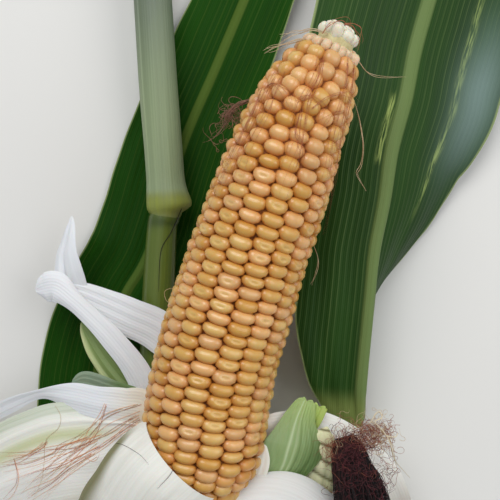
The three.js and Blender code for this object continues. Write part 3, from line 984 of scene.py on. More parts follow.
# Sets small bodies on seats: each seat carries its kind, turn and size
def seatTree():
    sockets = {
        "Kinds": "Collection",
        "Unevenness": "Float",
        "Size spread": "Float",
        "Seed": "Int",
        "Skin": "Material",
    }
    tree, given, result = treeWith("bodiesOnSeats", sockets)
    choice = {"Collection": given["Kinds"], 1: True, 2: True}
    kinds = node(tree, "GeometryNodeCollectionInfo", choice).outputs[0]
    low, high = (
        node(tree, "ShaderNodeMath", {0: 1.0, 1: given["Size spread"]}, operation=operation).outputs[0]
        for operation in ("SUBTRACT", "ADD")
    )
    between = {"Min": low, "Max": high, "Seed": given["Seed"]}
    vary = node(tree, "FunctionNodeRandomValue", between, data_type="FLOAT_VECTOR").outputs[0]
    seated = node(tree, "GeometryNodeInstanceOnPoints", {
        "Points": given["Geometry"],
        "Instance": kinds,
        "Pick Instance": True,
        "Instance Index": named(tree, "kind", "INT"),
        "Rotation": named(tree, "turn", "FLOAT_VECTOR"),
        "Scale": vectorCalc(tree, "MULTIPLY", {0: named(tree, "size", "FLOAT_VECTOR"), 1: vary}),
    }).outputs[0]
    loose = node(tree, "GeometryNodeRealizeInstances", {0: seated}).outputs[0]
    wobble = node(tree, "ShaderNodeTexNoise", {"Scale": wobbleScale, "Detail": 1.0}).outputs["Color"]
    centred = vectorCalc(tree, "SUBTRACT", {0: wobble, 1: (0.5, 0.5, 0.5)})
    push = vectorCalc(tree, "SCALE", {0: centred, "Scale": given["Unevenness"]})
    shaped = node(tree, "GeometryNodeSetPosition", {"Geometry": loose, "Offset": push}).outputs[0]
    finishGeometry(tree, shaped, given["Skin"], result[0])
    return tree


# Runs a tree on a source object and leaves a plain mesh piece
def grow(name, source, tree, values):
    modifier = source.modifiers.new("grow", "NODES")
    modifier.node_group = tree
    for item in tree.interface.items_tree:
        if item.in_out == "INPUT" and item.name in values:
            modifier[item.identifier] = values[item.name]
    depsgraph = bpy.context.evaluated_depsgraph_get()
    grown = source.evaluated_get(depsgraph)
    mesh = bpy.data.meshes.new_from_object(grown, preserve_all_data_layers=True, depsgraph=depsgraph)
    mesh.name = name
    source.modifiers.remove(modifier)
    spent = source.data
    bpy.data.objects.remove(source)
    bpy.data.meshes.remove(spent)
    return addObject(name, mesh)


def seatMesh(places, turns, sizes, kinds):
    mesh = startMesh("seats", places)
    addField(mesh, "turn", turns, "FLOAT_VECTOR", "vector")
    addField(mesh, "size", sizes * millimetre, "FLOAT_VECTOR", "vector")
    addField(mesh, "kind", kinds, "INT")
    return addObject("seats", mesh)


def turnsFrom(across, up, out):
    return np.array([list(Matrix(axes).transposed().to_euler()) for axes in zip(across, up, out)])


def tintOf(run, angle):
    facing = math.cos(angle - math.pi)  # 1 on the ear's left
    common, more = ear["orangeShare"]
    if run < ear["orangeRun"] and dice.uniform() < common + more * facing:
        return "orange"
    share = smoothStep(*ear["tipTints"], run / earReach)
    weights = np.array([low * (1 - share) + high * share for low, high in ear["tintShares"].values()])
    return dice.choice(list(ear["tintShares"]), p=weights / sum(weights))


def makeEar(tree):
    coreGapShadeSkin = plainSkin("cobCoreGapShadeSkin", ear["coreTone"], ear["coreShade"], 0.9)
    core = corePiece("ear_core", earLine, 100, 60, coreGapShadeSkin, lambda radius, angle: radius - ear["coreSink"])
    own(core, "kernels", "ear")
    seats = kernelSeats()
    runs, angles, halfWidths, halfLengths, kinds = seats.T
    place, across, up, out = earPlace(runs, angles)
    lean = ear["lean"] * smoothStep(*ear["leanRun"], runs)[:, None]
    up, out = up * np.cos(lean) - out * np.sin(lean), out * np.cos(lean) + up * np.sin(lean)
    plump = dice.uniform(*ear["plump"], len(seats))
    heights = np.take(kernel["heights"], kinds.astype(int)) * plump
    rise = ear["crownRise"] - heights + dice.uniform(*ear["riseStray"], len(seats))
    place = place + out * rise[:, None]
    wide, long = ear["overlap"]
    sizes = np.stack([halfWidths * wide, halfLengths * long * plump, heights], axis=1)
    turns = turnsFrom(across, up, out) + stray(ear["turnStray"], (len(seats), 3))
    tints = np.array([tintOf(run, angle) for run, angle in zip(runs, angles)])
    values = {
        "Kinds": kindsOf("kernelKinds", kernel["kinds"]),
        "Unevenness": ear["unevenness"],
        "Size spread": ear["sizeSpread"],
        "Seed": ear["seed"],
    }
    for tint, tones in ear["tints"].items():
        chosen = tints == tint
        source = seatMesh(place[chosen], turns[chosen], sizes[chosen], kinds[chosen])
        values["Skin"] = kernelSkin(f"kernel_{tint}", *tones)
        own(grow(f"kernels_{tint}", source, tree, values), "kernels", "ear")
        print(f"  {chosen.sum()} {tint} kernels")


bodyTree = seatTree()
makeEar(bodyTree)
print("stage: ear")


# White end of the cob, with florets that never filled
cobTipLine = [[31.5, 77.2, 65.7, 7.4], [32.6, 79.6, 65.8, 8.8], [34.2, 83, 66, 7.9], [35.6, 86, 66.2, 4.2]]
cobTip = {
    "coreSink": 1.4,
    "seed": 9,
    "unevenness": 0.0016,
    "sizeSpread": 0.18,
    # share along the end of the cob, how many around, half width and height in mm, kind of finish
    "rings": [(0.1, 15, 2.2, 2.6, "paper"), (0.42, 13, 1.9, 2.3, "hollow"), (0.68, 10, 2.5, 3.2, "pale"),
              (0.9, 7, 2.0, 2.4, "pale"), (0.99, 4, 1.6, 1.0, "hollow")],
    "shareStray": 0.03,
    "turnStray": 0.25,
    "ringTurn": 7,  # how far each ring is turned against the others
    "tilt": (0.2, 1.6),  # towards the end: of the first florets, and how much it grows
    "hollowPlace": 0.5,  # share of the radius at which hollow florets stand
    "sunk": 0.62,  # share of a floret's height under the surface
    "widths": (0.85, 1.2),  # shares of the ring's own half width
    "lengths": (0.85, 1.15),  # shares of a floret's width
    "heights": (0.8, 1.15),
    "paperRing": (17, 2.0, 2.6, 2.9),  # how many, half width, half length and height in mm
    "paperPlace": (1.0, 0.2, 0.9, 0.5),  # mm before the kernels' end, how loose, tilt and share sunk
    "tones": {
        "pale": ((244, 240, 228), (222, 214, 182)),
        "hollow": ((216, 208, 160), (188, 174, 122)),
        "paper": ((232, 210, 178), (214, 178, 136)),
    },
    "kinds": {"floretRound": (2.0, 0.55, 0.0, 0.0), "floretTorn": (2.4, 0.45, 0.3, 0.0)},
}


# Angles round a ring, each up to a slack off its even place
def looseAngles(count, slack):
    return 2 * np.pi * (np.arange(count) + stray(slack, count)) / count


def cobRing(at, count, half, height, kind):
    share = np.full(count, at) + stray(cobTip["shareStray"], count)
    angle = looseAngles(count, cobTip["turnStray"]) + at * cobTip["ringTurn"]
    tilt, more = cobTip["tilt"]
    axis, tangent, side, normal = frames(cobTipLine, np.clip(share, 0, 1))
    radial = side * np.cos(angle)[:, None] + normal * np.sin(angle)[:, None]
    lean = unit(radial + tangent * (tilt + more * at ** 2))
    across = unit(np.cross(tangent, lean))
    inward = cobTip["hollowPlace"] if kind == "hollow" else 1.0
    place = axis[:, :3] + radial * (axis[:, 3:4] * inward - height * cobTip["sunk"])
    width = half * dice.uniform(*cobTip["widths"], count)
    length = width * dice.uniform(*cobTip["lengths"], count)
    size = np.stack([width, length, height * dice.uniform(*cobTip["heights"], count)], axis=1)
    return place, turnsFrom(across, np.cross(lean, across), lean), size


def paperRing(count, half, long, height):
    back, slack, tilt, sunk = cobTip["paperPlace"]
    place, across, up, out = earPlace(np.full(count, earReach - back), looseAngles(count, slack))
    lean = unit(out + up * tilt)
    size = np.tile([half, long, height], (count, 1)) * dice.uniform(*cobTip["heights"], (count, 3))
    return place - out * height * sunk, turnsFrom(across, np.cross(lean, across), lean), size


def makeCobTip(tree):
    glow = {"Subsurface_Weight": 0.3, "Subsurface_Scale": 0.002}
    skins = {
        "pale": plainSkin("cobTipSkin", *cobTip["tones"]["pale"], 0.45, 420.0, **glow),
        "hollow": plainSkin("cobHollowSkin", *cobTip["tones"]["hollow"], 0.6, 420.0),
        "paper": plainSkin("paperKernelSkin", *cobTip["tones"]["paper"], 0.4, 500.0, **glow),
    }
    sink = lambda radius, angle: radius - cobTip["coreSink"]
    core = corePiece("cob_tip_core", cobTipLine, 40, 48, skins["hollow"], sink)
    own(core, "cob", "cob_tip")
    values = {
        "Kinds": kindsOf("floretKinds", cobTip["kinds"]),
        "Unevenness": cobTip["unevenness"],
        "Size spread": cobTip["sizeSpread"],
        "Seed": cobTip["seed"],
    }
    for kind, skin in skins.items():
        rings = [cobRing(*rule) for rule in cobTip["rings"] if rule[-1] == kind]
        if kind == "paper":
            rings.append(paperRing(*cobTip["paperRing"]))
        places, turns, sizes = (np.concatenate(group) for group in zip(*rings))
        source = seatMesh(places, turns, sizes, dice.integers(0, 2, len(places)))
        values["Skin"] = skin
        own(grow(f"cob_tip_{kind}_florets", source, tree, values), "cob", "cob_tip")


makeCobTip(bodyTree)
print("stage: cob tip")


# Shank that joins the ear to the stalk's node
shankLine = [
    [-44, -154, 14, 7.6], [-37, -139, 27, 8], [-30, -124, 40, 8.4], [-26, -115, 45.6, 9],
    [-23.4, -104.6, 48, 8.4],
]
shank = {
    "steps": 119,
    "sides": 64,
    "sink": 0.3,
    "ribs": 30,
    "ribHeight": 0.08,
    "rings": 6,
    "ringHeight": 0.4,
    "tones": ((196, 204, 150), (150, 168, 96), (120, 128, 70)),
}


def makeShank():
    t = np.linspace(0, 1, shank["steps"] + 1)
    angles = turnAngles(shank["sides"])
    radius = along(shankLine, t)[:, 3:4] - shank["sink"] + shank["ribHeight"] * np.cos(angles * shank["ribs"])
    radius = radius + shank["ringHeight"] * np.abs(np.sin(np.pi * shank["rings"] * t[:, None])) ** 8
    masks = {"green": smoothStep(0.7, 0.1, t)[:, None] + 0 * radius}
    grain = cylinderGrain(runOf(shankLine, t), angles, 8.0)
    skin = stemSkin("shankSkin", *shank["tones"], 0.5)
    piece = tubePiece("shank_stem", tubeGrid(shankLine, t, angles, radius), skin, masks, grain)
    own(piece, "green_husk", "ear_shank")


makeShank()


# Husks, peeled back
huskShape = {"steps": 108, "across": 76, "thickness": 0.5, "vein": 0.035, "gap": 1.25, "ragged": 0.005}


# Masks over a husk: u goes from -1 to 1 across it, and run from 0 at its foot to 1 at its tip
def topBand(u, run):
    return 0.85 * smoothStep(0.02, 0.2, run) * bell(u, 0.92, 0.2)


def limeBand(u, run):
    return 0.66 * smoothStep(0.22, 0.38, run) * bell(u, 0.36, 0.15)


# Painted shade on the lower left husk's lower side, towards the valley by the front husk
def leftValleyShade(u, run):
    return 0.3 * smoothStep(-0.5, -1.0, u) * smoothStep(0.62, 0.42, run)


# Painted shade on the front husk along its edge by the lower left husk, in the valley between them
def frontValleyShade(u, run):
    return smoothStep(0.84 - 1.4 * run, 0.9, u) * smoothStep(0.0, 0.1, run)


def greenCreases(u, run):
    return 0.6 * bell(u, -0.22, 0.05) + 0.4 * bell(u, -0.02, 0.03)


stack = {"length": 35.6, "bulge": 6.6, "height": 1.1, "tilt": 1.1}  # husk ends stacked beside the silk, in mm


# Lines between the stacked husk ends, one at each bulge
def stackLines(u, run):
    return np.abs(np.cos(np.pi * run * stack["length"] / stack["bulge"] + stack["tilt"] * u)) ** 26


# A mask of one strength that sets in, or fades out, between two places along the husk
def alongRun(strength, start, end):
    return lambda u, run: strength * smoothStep(start, end, run)


# Each husk's stations and finish, its relief as bladeRelief reads it, and its masks
husks = {
    "husk_front": {
        "finish": "front",
        "stations": [
            [-30.5, -78.5, 75, 25, -20, -60], [-40.3, -88.1, 74.6, 23.2, -16, -50],
            [-48.7, -101.1, 69, 21.6, -12, -42], [-56.8, -115.1, 59, 20.8, -8, -38],
            [-68.2, -129.5, 45.6, 20, -6, -34], [-82, -144, 30, 17, -4, -26], [-96, -158, 14.6, 11, 0, -14],
            [-107, -168, 4.4, 4, 0, -4],
        ],
        "pleats": [(2, 0.22), (7, 0.09), (13, 0.05)], "ripples": [(62, 0.25), (17, 0.12)], "phase": 0.4,
        "bow": 0.036,
        "masks": {"tan": frontValleyShade},
    },
    "husk_front_right": {
        "finish": "fold",
        "stations": [
            [-18.6, -113.5, 56.2, 3.4], [-6, -105, 60, 10, 0, -34], [10, -104, 58, 17, 0, -58],
            [25, -115, 50, 19, 0, -58], [36, -134, 36, 18, 0, -44], [45, -156, 19, 13, 0, -24],
            [51, -172, 6, 6, 0, -6],
        ],
        "pleats": [(3, 0.16)], "ripples": [(44, 0.4)], "phase": 2.0,
    },
    "husk_lower_left": {
        "finish": "wide",
        "stations": [
            [-31, -106, 46, 3.2], [-36.6, -88, 45.6, 4.6], [-44.5, -77, 45.4, 7.4, 0, -4],
            [-62, -82.4, 42, 18.6, -6, -14, 8], [-83, -87, 34, 22, -4, -20, 12],
            [-105, -97, 23, 21, 0, -20, 8], [-127, -110, 12, 15, 2, -12], [-146, -121, 4, 5, 0, -4],
        ],
        "pleats": [(3, 0.16)], "ripples": [(58, 0.5)], "phase": 1.2,
        "ridges": [(0.62, 0.06, 0.8), (0.2, 0.08, 0.25), (-0.2, 0.1, 0.25)],
        "masks": {"green": topBand, "lime": limeBand, "tan": leftValleyShade},
    },
    "husk_left": {
        "finish": "cool",
        "stations": [
            [-34, -106, 42.6, 3.2], [-38.6, -84, 44, 5.5], [-43.5, -66.5, 46, 7.8, 0, -8],
            [-52, -64.2, 45, 7.4, 0, -16], [-63, -63.4, 41.6, 6.8, 0, -16], [-76, -62, 34, 5.8, 0, -14],
            [-90, -62, 26.4, 2.4, 20], [-104, -67.5, 20, 3.4, 10, 10], [-121, -76.5, 11.5, 3.6, 0, 8],
            [-137, -85.5, 3.6, 2],
        ],
        "pleats": [(2, 0.14)], "ripples": [(46, 0.3)], "phase": 0.2,
        "masks": {"tan": alongRun(0.9, 0.42, 0.27)},
    },
    "husk_ribbon": {
        "finish": "cool",
        "stations": [
            [-30.6, -104.5, 37.8, 3], [-39.5, -78, 31.6, 5], [-46.6, -55, 31, 5.8, 0, -10],
            [-58.5, -38.6, 30.4, 5, 0, -20], [-69, -28, 29, 4.3, 0, -26], [-77, -21, 28, 4.8, 0, -30],
            [-83.8, -16.2, 26.5, 7, 0, -30], [-89.4, -16.6, 24.5, 6.4, 0, -26],
            [-93, -17.8, 22.5, 3.6, 0, -10],
        ],
        "pleats": [(2, 0.12)], "ripples": [(40, 0.3)], "phase": 1.4,
    },
    "husk_back": {
        "finish": "cool",
        "stations": [
            [-25, -103.5, 36, 3], [-27.6, -73, 27.4, 6.4], [-28.4, -48, 25.6, 8],
            [-39, -35.4, 26.4, 8.8, 0, -6], [-52, -29, 26.4, 8.4, 0, -10], [-63, -24, 24.6, 7.2, 0, -8],
            [-73, -19.8, 23.6, 5.8], [-82, -17.4, 22.4, 4],
        ],
        "pleats": [(4, 0.1)], "ripples": [(36, 0.3)], "phase": 3.1,
    },
    "husk_right": {
        "finish": "right",
        "stations": [
            [-17.6, -104.6, 38.4, 3.2], [-5, -89, 40, 10, 2, -8], [8, -82, 46.6, 14, -5, -14],
            [25.6, -81.2, 43.4, 15, -3, -32], [40.4, -88.6, 38.6, 15, -2, -40],
            [53, -103, 32, 14.4, -2, -40], [61, -124, 22, 13, 0, -30], [66, -148, 8, 8, 0, -10],
        ],
        "pleats": [(3, 0.25)], "ripples": [(44, 0.6)], "phase": 0.9,
        # darker towards its far end: painted shade under the silk tuft
        "masks": {"tan": alongRun(0.8, 0.58, 0.78)},
    },
    "husk_green": {
        "finish": "green",
        "stations": [
            [-13.6, -107.6, 47.6, 3], [4, -101, 49, 6, -20, 10, 0, -16],
            [14, -90.6, 49, 9.4, -10, 12, 0, -26], [18.4, -80.6, 49.8, 13.2, -2, 8, 0, -28],
            [20.4, -69.6, 48, 7.4, 0, 8, 0, -24], [24, -59.8, 45.6, 3.2, 0, 6, 0, -10],
        ],
        "pleats": [(3, 0.12), (8, 0.08)], "ripples": [(24, 0.4)], "phase": 2.2,
        "ridges": [(0.06, 0.1, 0.5)],
        "torn": 0.07,
        "masks": {
            # darker green over its right half: painted shade where that half turns away from the light
            "green": lambda u, run: 0.9 * smoothStep(0.1, 0.8, u) * smoothStep(0.95, 0.5, run),
            "lime": alongRun(0.8, 0.7, 1.0),
            "tan": greenCreases,
        },
    },
    "husk_green_small": {
        "finish": "lime",
        "stations": [
            [-14.6, -106, 42.6, 2.6], [8, -99, 38, 4, 0, 6], [19.6, -86, 36, 4.2, 0, 12],
            [23.8, -76, 41, 2.6, 0, 24], [26.2, -69.6, 44.4, 3.4, 0, 30], [29.2, -62.4, 44, 3.9, 0, 20],
        ],
        "pleats": [(3, 0.3)], "ripples": [(18, 0.3)], "phase": 0.5,
        "torn": 0.09,
    },
    "husk_outer": {
        "finish": "outer",
        "stations": [
            [-27.6, -118, 33.4, 2.8], [-35, -88, 27, 5.4], [-45, -66, 25.6, 6, 0, -8],
            [-57, -55.4, 24, 6, 0, -12], [-66.6, -43.4, 21, 5, 0, -10], [-74, -31.6, 17.6, 2],
        ],
        "pleats": [(3, 0.3)], "ripples": [(30, 0.5)], "phase": 1.0,
        "masks": {"lime": lambda u, run: smoothStep(-0.3, -0.9, u)},
    },
}
greenHusks = ("husk_green", "husk_green_small", "husk_outer")
# Thin skins between the husks that the solids leave out, each with the node that it helps to dress
innerSkins = {
    "ribbon_tip_skin": {
        "dresses": "husk_ribbon",
        "finish": "cool",
        "stations": [
            [-76.4, -18.4, 21.6, 6.4, 4, 0, -8, 10], [-79, -9.4, 23, 7.6, 4, 0, -24, 22],
            [-80.2, -2, 22.4, 6.8, 4, 0, -36, 30], [-79.4, 5, 21, 4.6, 4, 0, -40, 34],
            [-78.4, 11, 19.6, 2, 4, 0, -20, 20], [-78.2, 15, 19, 0.6, 4],
        ],
        "ridges": [(-0.35, 0.13, -1.1), (0.3, 0.2, 0.5)],
    },
    "flap_skin": {
        "dresses": "husk_outer",
        "finish": "grey",
        "stations": [
            [-49, -60.4, 31.6, 2.2], [-57, -58.6, 32, 3, 10], [-65, -56, 31.6, 3.6, 16],
            [-71, -54.8, 31, 3.2, 16], [-76, -57, 30, 0.8],
        ],
        "masks": {"green": alongRun(1.0, 0.55, 0.2)},
    },
    "near_fold_skin": {
        "dresses": "husk_right",
        "finish": "ivory",
        "stations": [
            [0.6, -98, 50, 3.6], [3, -90.6, 53, 3.6, 0, 10], [4.8, -84, 54.2, 3.2, 0, 10],
            [5.6, -78, 54, 1],
        ],
    },
    "stacked_husk_ends": {
        "dresses": "husk_right",
        "finish": "cream",
        "stations": [
            [28.8, -73.6, 44.6, 3.2, 0, -20], [30.4, -79, 44.6, 4.4, 0, -26], [30.6, -85, 43.6, 5, 0, -26],
            [29.6, -92, 42, 5.6, 0, -26], [28, -100, 39.4, 6.4, 0, -20], [26.6, -108, 36, 6.6, 0, -10],
        ],
        "bulges": (stack["bulge"], stack["height"], stack["tilt"]),
        "masks": {"tan": stackLines},
    },
}
skinShape = {"steps": 64, "across": 32, "thickness": 0.35, "vein": 0.03, "gap": 1.1, "pleats": [(3, 0.12)]}
huskFinishes = {
    "ivory": {},
    # the front husk's "tan" is the painted shade colour of that valley
    "front": {"base": (242, 240, 232), "vein": (208, 206, 190), "tan": (128, 126, 88), "contrast": 0.7},
    "fold": {"base": (229, 228, 225), "vein": (202, 200, 193), "contrast": 0.8},
    "wide": {
        # its "tan" is painted shade by the valley
        "base": (253, 250, 244), "vein": (224, 220, 208), "green": (172, 188, 154), "tan": (210, 202, 160),
        "lime": (188, 196, 118), "contrast": 0.8,
    },
    "cool": {"base": (238, 239, 242), "vein": (206, 210, 212), "tan": (234, 224, 202), "contrast": 0.4},
    # its "tan" is painted shade under the silk tuft
    "right": {"base": (251, 249, 243), "vein": (220, 216, 196), "tan": (166, 158, 142)},
    "green": {
        # its "green" is painted shade on the turned-away half
        "base": (128, 154, 95), "vein": (162, 181, 126), "green": (70, 104, 40), "tan": (204, 219, 178),
        "lime": (162, 186, 106), "contrast": 0.9, "roughness": 0.42,
    },
    "lime": {"base": (160, 184, 86), "vein": (192, 206, 126), "contrast": 0.9, "roughness": 0.42},
    "outer": {"base": (122, 146, 78), "vein": (158, 174, 112), "lime": (196, 204, 146), "contrast": 1.0},
    "grey": {"base": (146, 166, 140), "vein": (172, 188, 162), "green": (104, 138, 66), "contrast": 0.8},
    "cream": {"base": (234, 230, 190), "vein": (196, 200, 138), "tan": (96, 92, 44), "contrast": 1.0},
}


def makeHusks():
    skins = {name: huskSkin(f"{name}Husk", **tones) for name, tones in huskFinishes.items()}
    blades = [(f"{name}_blade", name, {**huskShape, **rule}) for name, rule in husks.items()]
    blades += [(name, rule["dresses"], {**skinShape, **rule}) for name, rule in innerSkins.items()]
    for name, dresses, shape in blades:
        piece = bladePiece(name, shape["stations"], shape, skins[shape["finish"]])
        own(piece, "green_husk" if dresses in greenHusks else "husk", dresses)


makeHusks()
print("stage: husks")


# The ear's own leaf on its sheath, and the leaf below
leafStations = {
    "ear_leaf": [
        [48, -76.4, 22, 11, -5, -15, 0, -60], [48.4, -58, 27, 23.4, 0, -10, 0, -78],
        [50.2, -34, 31, 31, 0, -8, 0, -80], [51.4, -21, 32, 32, 0, -10, 0, -76],
        [53.5, 0, 32, 35, 0, -24, 0, -50], [57.5, 21.3, 31, 38, 0, -24, 0, -34],
        [60.8, 42.8, 29, 42, 0, -20, 0, -20], [66.9, 64.7, 26, 45, 0, -16, 0, -12],
        [71.7, 87, 23, 47, 0, -16, 0, -8], [78.3, 109.4, 20, 48, 0, -18, 0, -6],
        [87, 137, 17.5, 47, -4, -18], [97, 165, 15, 45, -6, -14], [109, 194, 12, 41, -4, -12],
        [123, 224, 9, 35, 0, -10], [139, 256, 6.6, 26, 3, -8], [154, 287, 5, 15, 3, -5], [166, 312, 4, 2.5],
    ],
    "back_leaf": [
        [-54.3, -166, 12.2, 12, -90, 70], [-60, -147, 9.6, 15, -60, 52], [-67, -122, 5.6, 20, -22, 24],
        [-71, -96, 3.6, 24, -6, 8], [-71, -70, 3, 26, 4, 8], [-67, -45, 3, 27, 5, 6],
        [-57, -21, 3, 27, 3, 4], [-45.6, 0, 3, 27, 0, 4], [-30.5, 48, 3, 26, 0, 4],
        [-16, 82, 3.4, 24, 2, 7], [-2.3, 114, 5, 22, 4, 7], [9, 141, 6.4, 19], [17.4, 169, 6.4, 14, -6, -6],
        [22.4, 192, 4.6, 8, -5, -5], [25, 209, 3.2, 2],
    ],
    "ear_leaf_sheath": [
        [-33.2, -153, 12.6, 13, 90, 76], [-29, -138, 11.5, 18, 66, 66], [-12, -120, 10, 22, 36, 46],
        [13, -98, 12, 20, 12, 42], [35, -84, 17, 13, 0, 38], [47.2, -77, 21.4, 10, -5, 30],
    ],
}
leafShape = {"steps": 210, "across": 132, "thickness": 0.55, "vein": 0.07, "gap": 2.5, "ragged": 0.003}


def marginLine(u, run):
    return smoothStep(0.975, 0.99, np.abs(u))


# Two pale streaks, one right of the rib and one left of it
def lesions(u, run):
    rightOne = bell(u, 0.6 - 0.25 * run, 0.03) * smoothStep(0.22, 0.27, run) * smoothStep(0.52, 0.46, run)
    leftOne = bell(u, -0.12, 0.03) * smoothStep(0.275, 0.285, run) * smoothStep(0.36, 0.34, run)
    return rightOne + 1.3 * leftOne


# Painted sheen: a grey-blue patch on the right half where the leaf reflects the sky
def greySheenPatch(u, run):
    return bell(u, 0.74, 0.24) * bell(run, 0.38, 0.08)


leafLooks = {
    "ear_leaf": {
        "rib": (3.3, 1.5), "ripples": [(92, 1.1), (41, 0.5)], "pleats": [(5, 0.25)], "phase": 0.7,
        "masks": {
            "margin": marginLine, "streak": lesions, "paintedSheen": greySheenPatch,
            "collar": alongRun(0.75, 0.044, 0.018),
        },
    },
    "back_leaf": {
        "rib": (2.2, 0.9), "ripples": [(84, 0.8), (37, 0.4)], "pleats": [(5, 0.2)], "phase": 2.1,
        "masks": {"margin": marginLine},
    },
    "ear_leaf_sheath": {
        "rib": (2.6, 0.5), "pleats": [(9, 0.12)], "phase": 0.3, "steps": 100, "across": 80, "thickness": 0.9,
    },
}
leafFinishes = {  # finish, its deep, fresh and rib tones, and its sheen
    "ear_leaf": ("earLeafSkin", (21, 52, 12), (38, 75, 22), (107, 128, 74), 0.13),
    "back_leaf": ("backLeafSkin", (12, 54, 3), (25, 75, 7), (82, 106, 42), 0.06),
    "ear_leaf_sheath": ("leafSheathSkin", (134, 156, 74), (156, 174, 96), (170, 184, 120), 0.22),
}


def makeLeaves():
    for name, stations in leafStations.items():
        shape = {**leafShape, **leafLooks[name]}
        piece = bladePiece(f"{name}_blade", stations, shape, leafSkin(*leafFinishes[name]))
        own(piece, "sheath" if name == "ear_leaf_sheath" else "leaf", name)


makeLeaves()
print("stage: leaves")


# Threads: silk and wisps, as slim tubes along paths
def threadTree():
    tree, given, result = treeWith("threads", {"Thickness": "Float", "Sides": "Int", "Skin": "Material"})
    paths = node(tree, "GeometryNodeMeshToCurve", {0: given["Geometry"]}).outputs[0]
    size = {"Resolution": given["Sides"], "Radius": given["Thickness"]}
    ring = node(tree, "GeometryNodeCurvePrimitiveCircle", size).outputs[0]
    girth = named(tree, "girth", "FLOAT")
    sweep = {"Curve": paths, "Profile Curve": ring, "Scale": girth, "Fill Caps": True}
    tubes = node(tree, "GeometryNodeCurveToMesh", sweep).outputs[0]
    finishGeometry(tree, tubes, given["Skin"], result[0])
    return tree


threads = threadTree()
threadSides = 3


def threadPiece(name, paths, thickness, skin):
    girth = np.concatenate([1 - 0.75 * np.linspace(0, 1, len(path)) ** 3 for path in paths])
    edges, start = [], 0
    for path in paths:
        edges += [(start + k, start + k + 1) for k in range(len(path) - 1)]
        start += len(path)
    mesh = startMesh("threadPaths", np.concatenate(paths), edges)
    addField(mesh, "girth", girth)
    values = {"Thickness": thickness / 2 * millimetre, "Sides": threadSides, "Skin": skin}
    return grow(name, addObject("threadPaths", mesh), threads, values)


silkLine = [
    [38.5, -76.8, 45, 4], [40, -82, 46.4, 6.6], [41.8, -89, 47.6, 8], [44.6, -98, 47.6, 10.2],
    [47, -109, 45, 11], [49.6, -123, 37, 9.4], [51, -136, 25.4, 5], [52.4, -143, 19.6, 2],
]
silk = {
    "threads": 620,
    "redThreads": 260,
    "points": 18,  # along a thread or a curl
    "thickness": 0.3,
    "redThickness": 0.24,
    "starts": (0, 0.09),  # shares of the tuft's length
    "ends": (0.72, 1.0),
    "depths": (0.25, 1),  # squared shares of its radius
    "swing": (0.6, 5),  # how far round a thread wanders, and how often
    "wave": (0.09, 10, 24),  # share of the radius, fewest and most
    "wisps": 26,
    "wispStarts": (0.02, 0.42),
    "wispTurns": (-0.1, math.pi * 0.95),
    "wispDepths": (0.5, 0.95),
    "wispReach": (5, 13),
    "wispCurls": (0.6, 2.6),  # width in mm
    "wispWinds": (3, 10),
    "wispBend": 0.4,
    "wispSag": 0.012,
    "curlReach": (6, 13),
    "curlTurn": 6,
    "curlSwing": (0.4, 1.3),
    "curlRise": (0.1, 0.5),
    "curlThickness": 0.19,
    "coreShare": 0.62,
    "coreCreases": (7, 0.5),  # how many and how deep
    "curls": {  # place and scatter in view units, heights in mm, how many
        "red": [((373, 435), (8.5, 7.5), (45, 55), 130), ((358, 436), (8, 5), (48, 55), 40),
                ((336, 448), (4, 6), (47, 53), 40), ((344, 430), (5, 6), (48, 52), 8)],
        "ear": [((232, 114), (5, 5), (54, 60), 34), ((218, 132), (5, 7), (50, 55), 9)],
        "edge": [((391, 470), (4, 13), (35, 42), 12)],
        "tuft": [((352, 460), (9, 16), (54, 59), 110), ((366, 484), (12, 10), (56, 59), 50)],
    },
    "paleCurls": (70, 12, 8, 4),  # how many pale curls lie at each place of the red ones
    "tones": {
        "dark": ((20, 6, 9), (9, 3, 5)),
        "red": ((78, 32, 34), (44, 18, 20)),
        "wine": ((104, 36, 42), (56, 20, 26)),
        "frizz": ((176, 104, 78), (124, 64, 50)),
        "cream": ((246, 234, 206), (232, 214, 180)),
        "straw": ((222, 202, 166), (192, 156, 116)),
        "husk": ((252, 192, 142), (238, 162, 116)),
        "rust": ((210, 122, 92), (178, 96, 74)),
        "ear": ((200, 120, 86), (168, 90, 64)),
        "tuft": ((166, 120, 96), (122, 80, 66)),
    },
}


# A wave of random length and start over a share of 0 to 1
def looseWave(share, fewest, most, turn=6):
    return np.sin(share * dice.uniform(fewest, most) + dice.uniform(0, turn))


def silkPath():
    angle = dice.uniform(0, 2 * np.pi)
    depth = math.sqrt(dice.uniform(*silk["depths"]))
    start, end = dice.uniform(*silk["starts"]), dice.uniform(*silk["ends"])
    share = np.linspace(start, end, silk["points"])
    wander, often = silk["swing"]
    height, fewest, most = silk["wave"]
    values, _, side, normal = frames(silkLine, share)
    swing = angle + stray(wander) * np.sin(share * often + dice.uniform(0, 6))
    out = values[:, 3] * (depth + height * looseWave(share, fewest, most))
    return values[:, :3] + side * (out * np.cos(swing))[:, None] + normal * (out * np.sin(swing))[:, None]


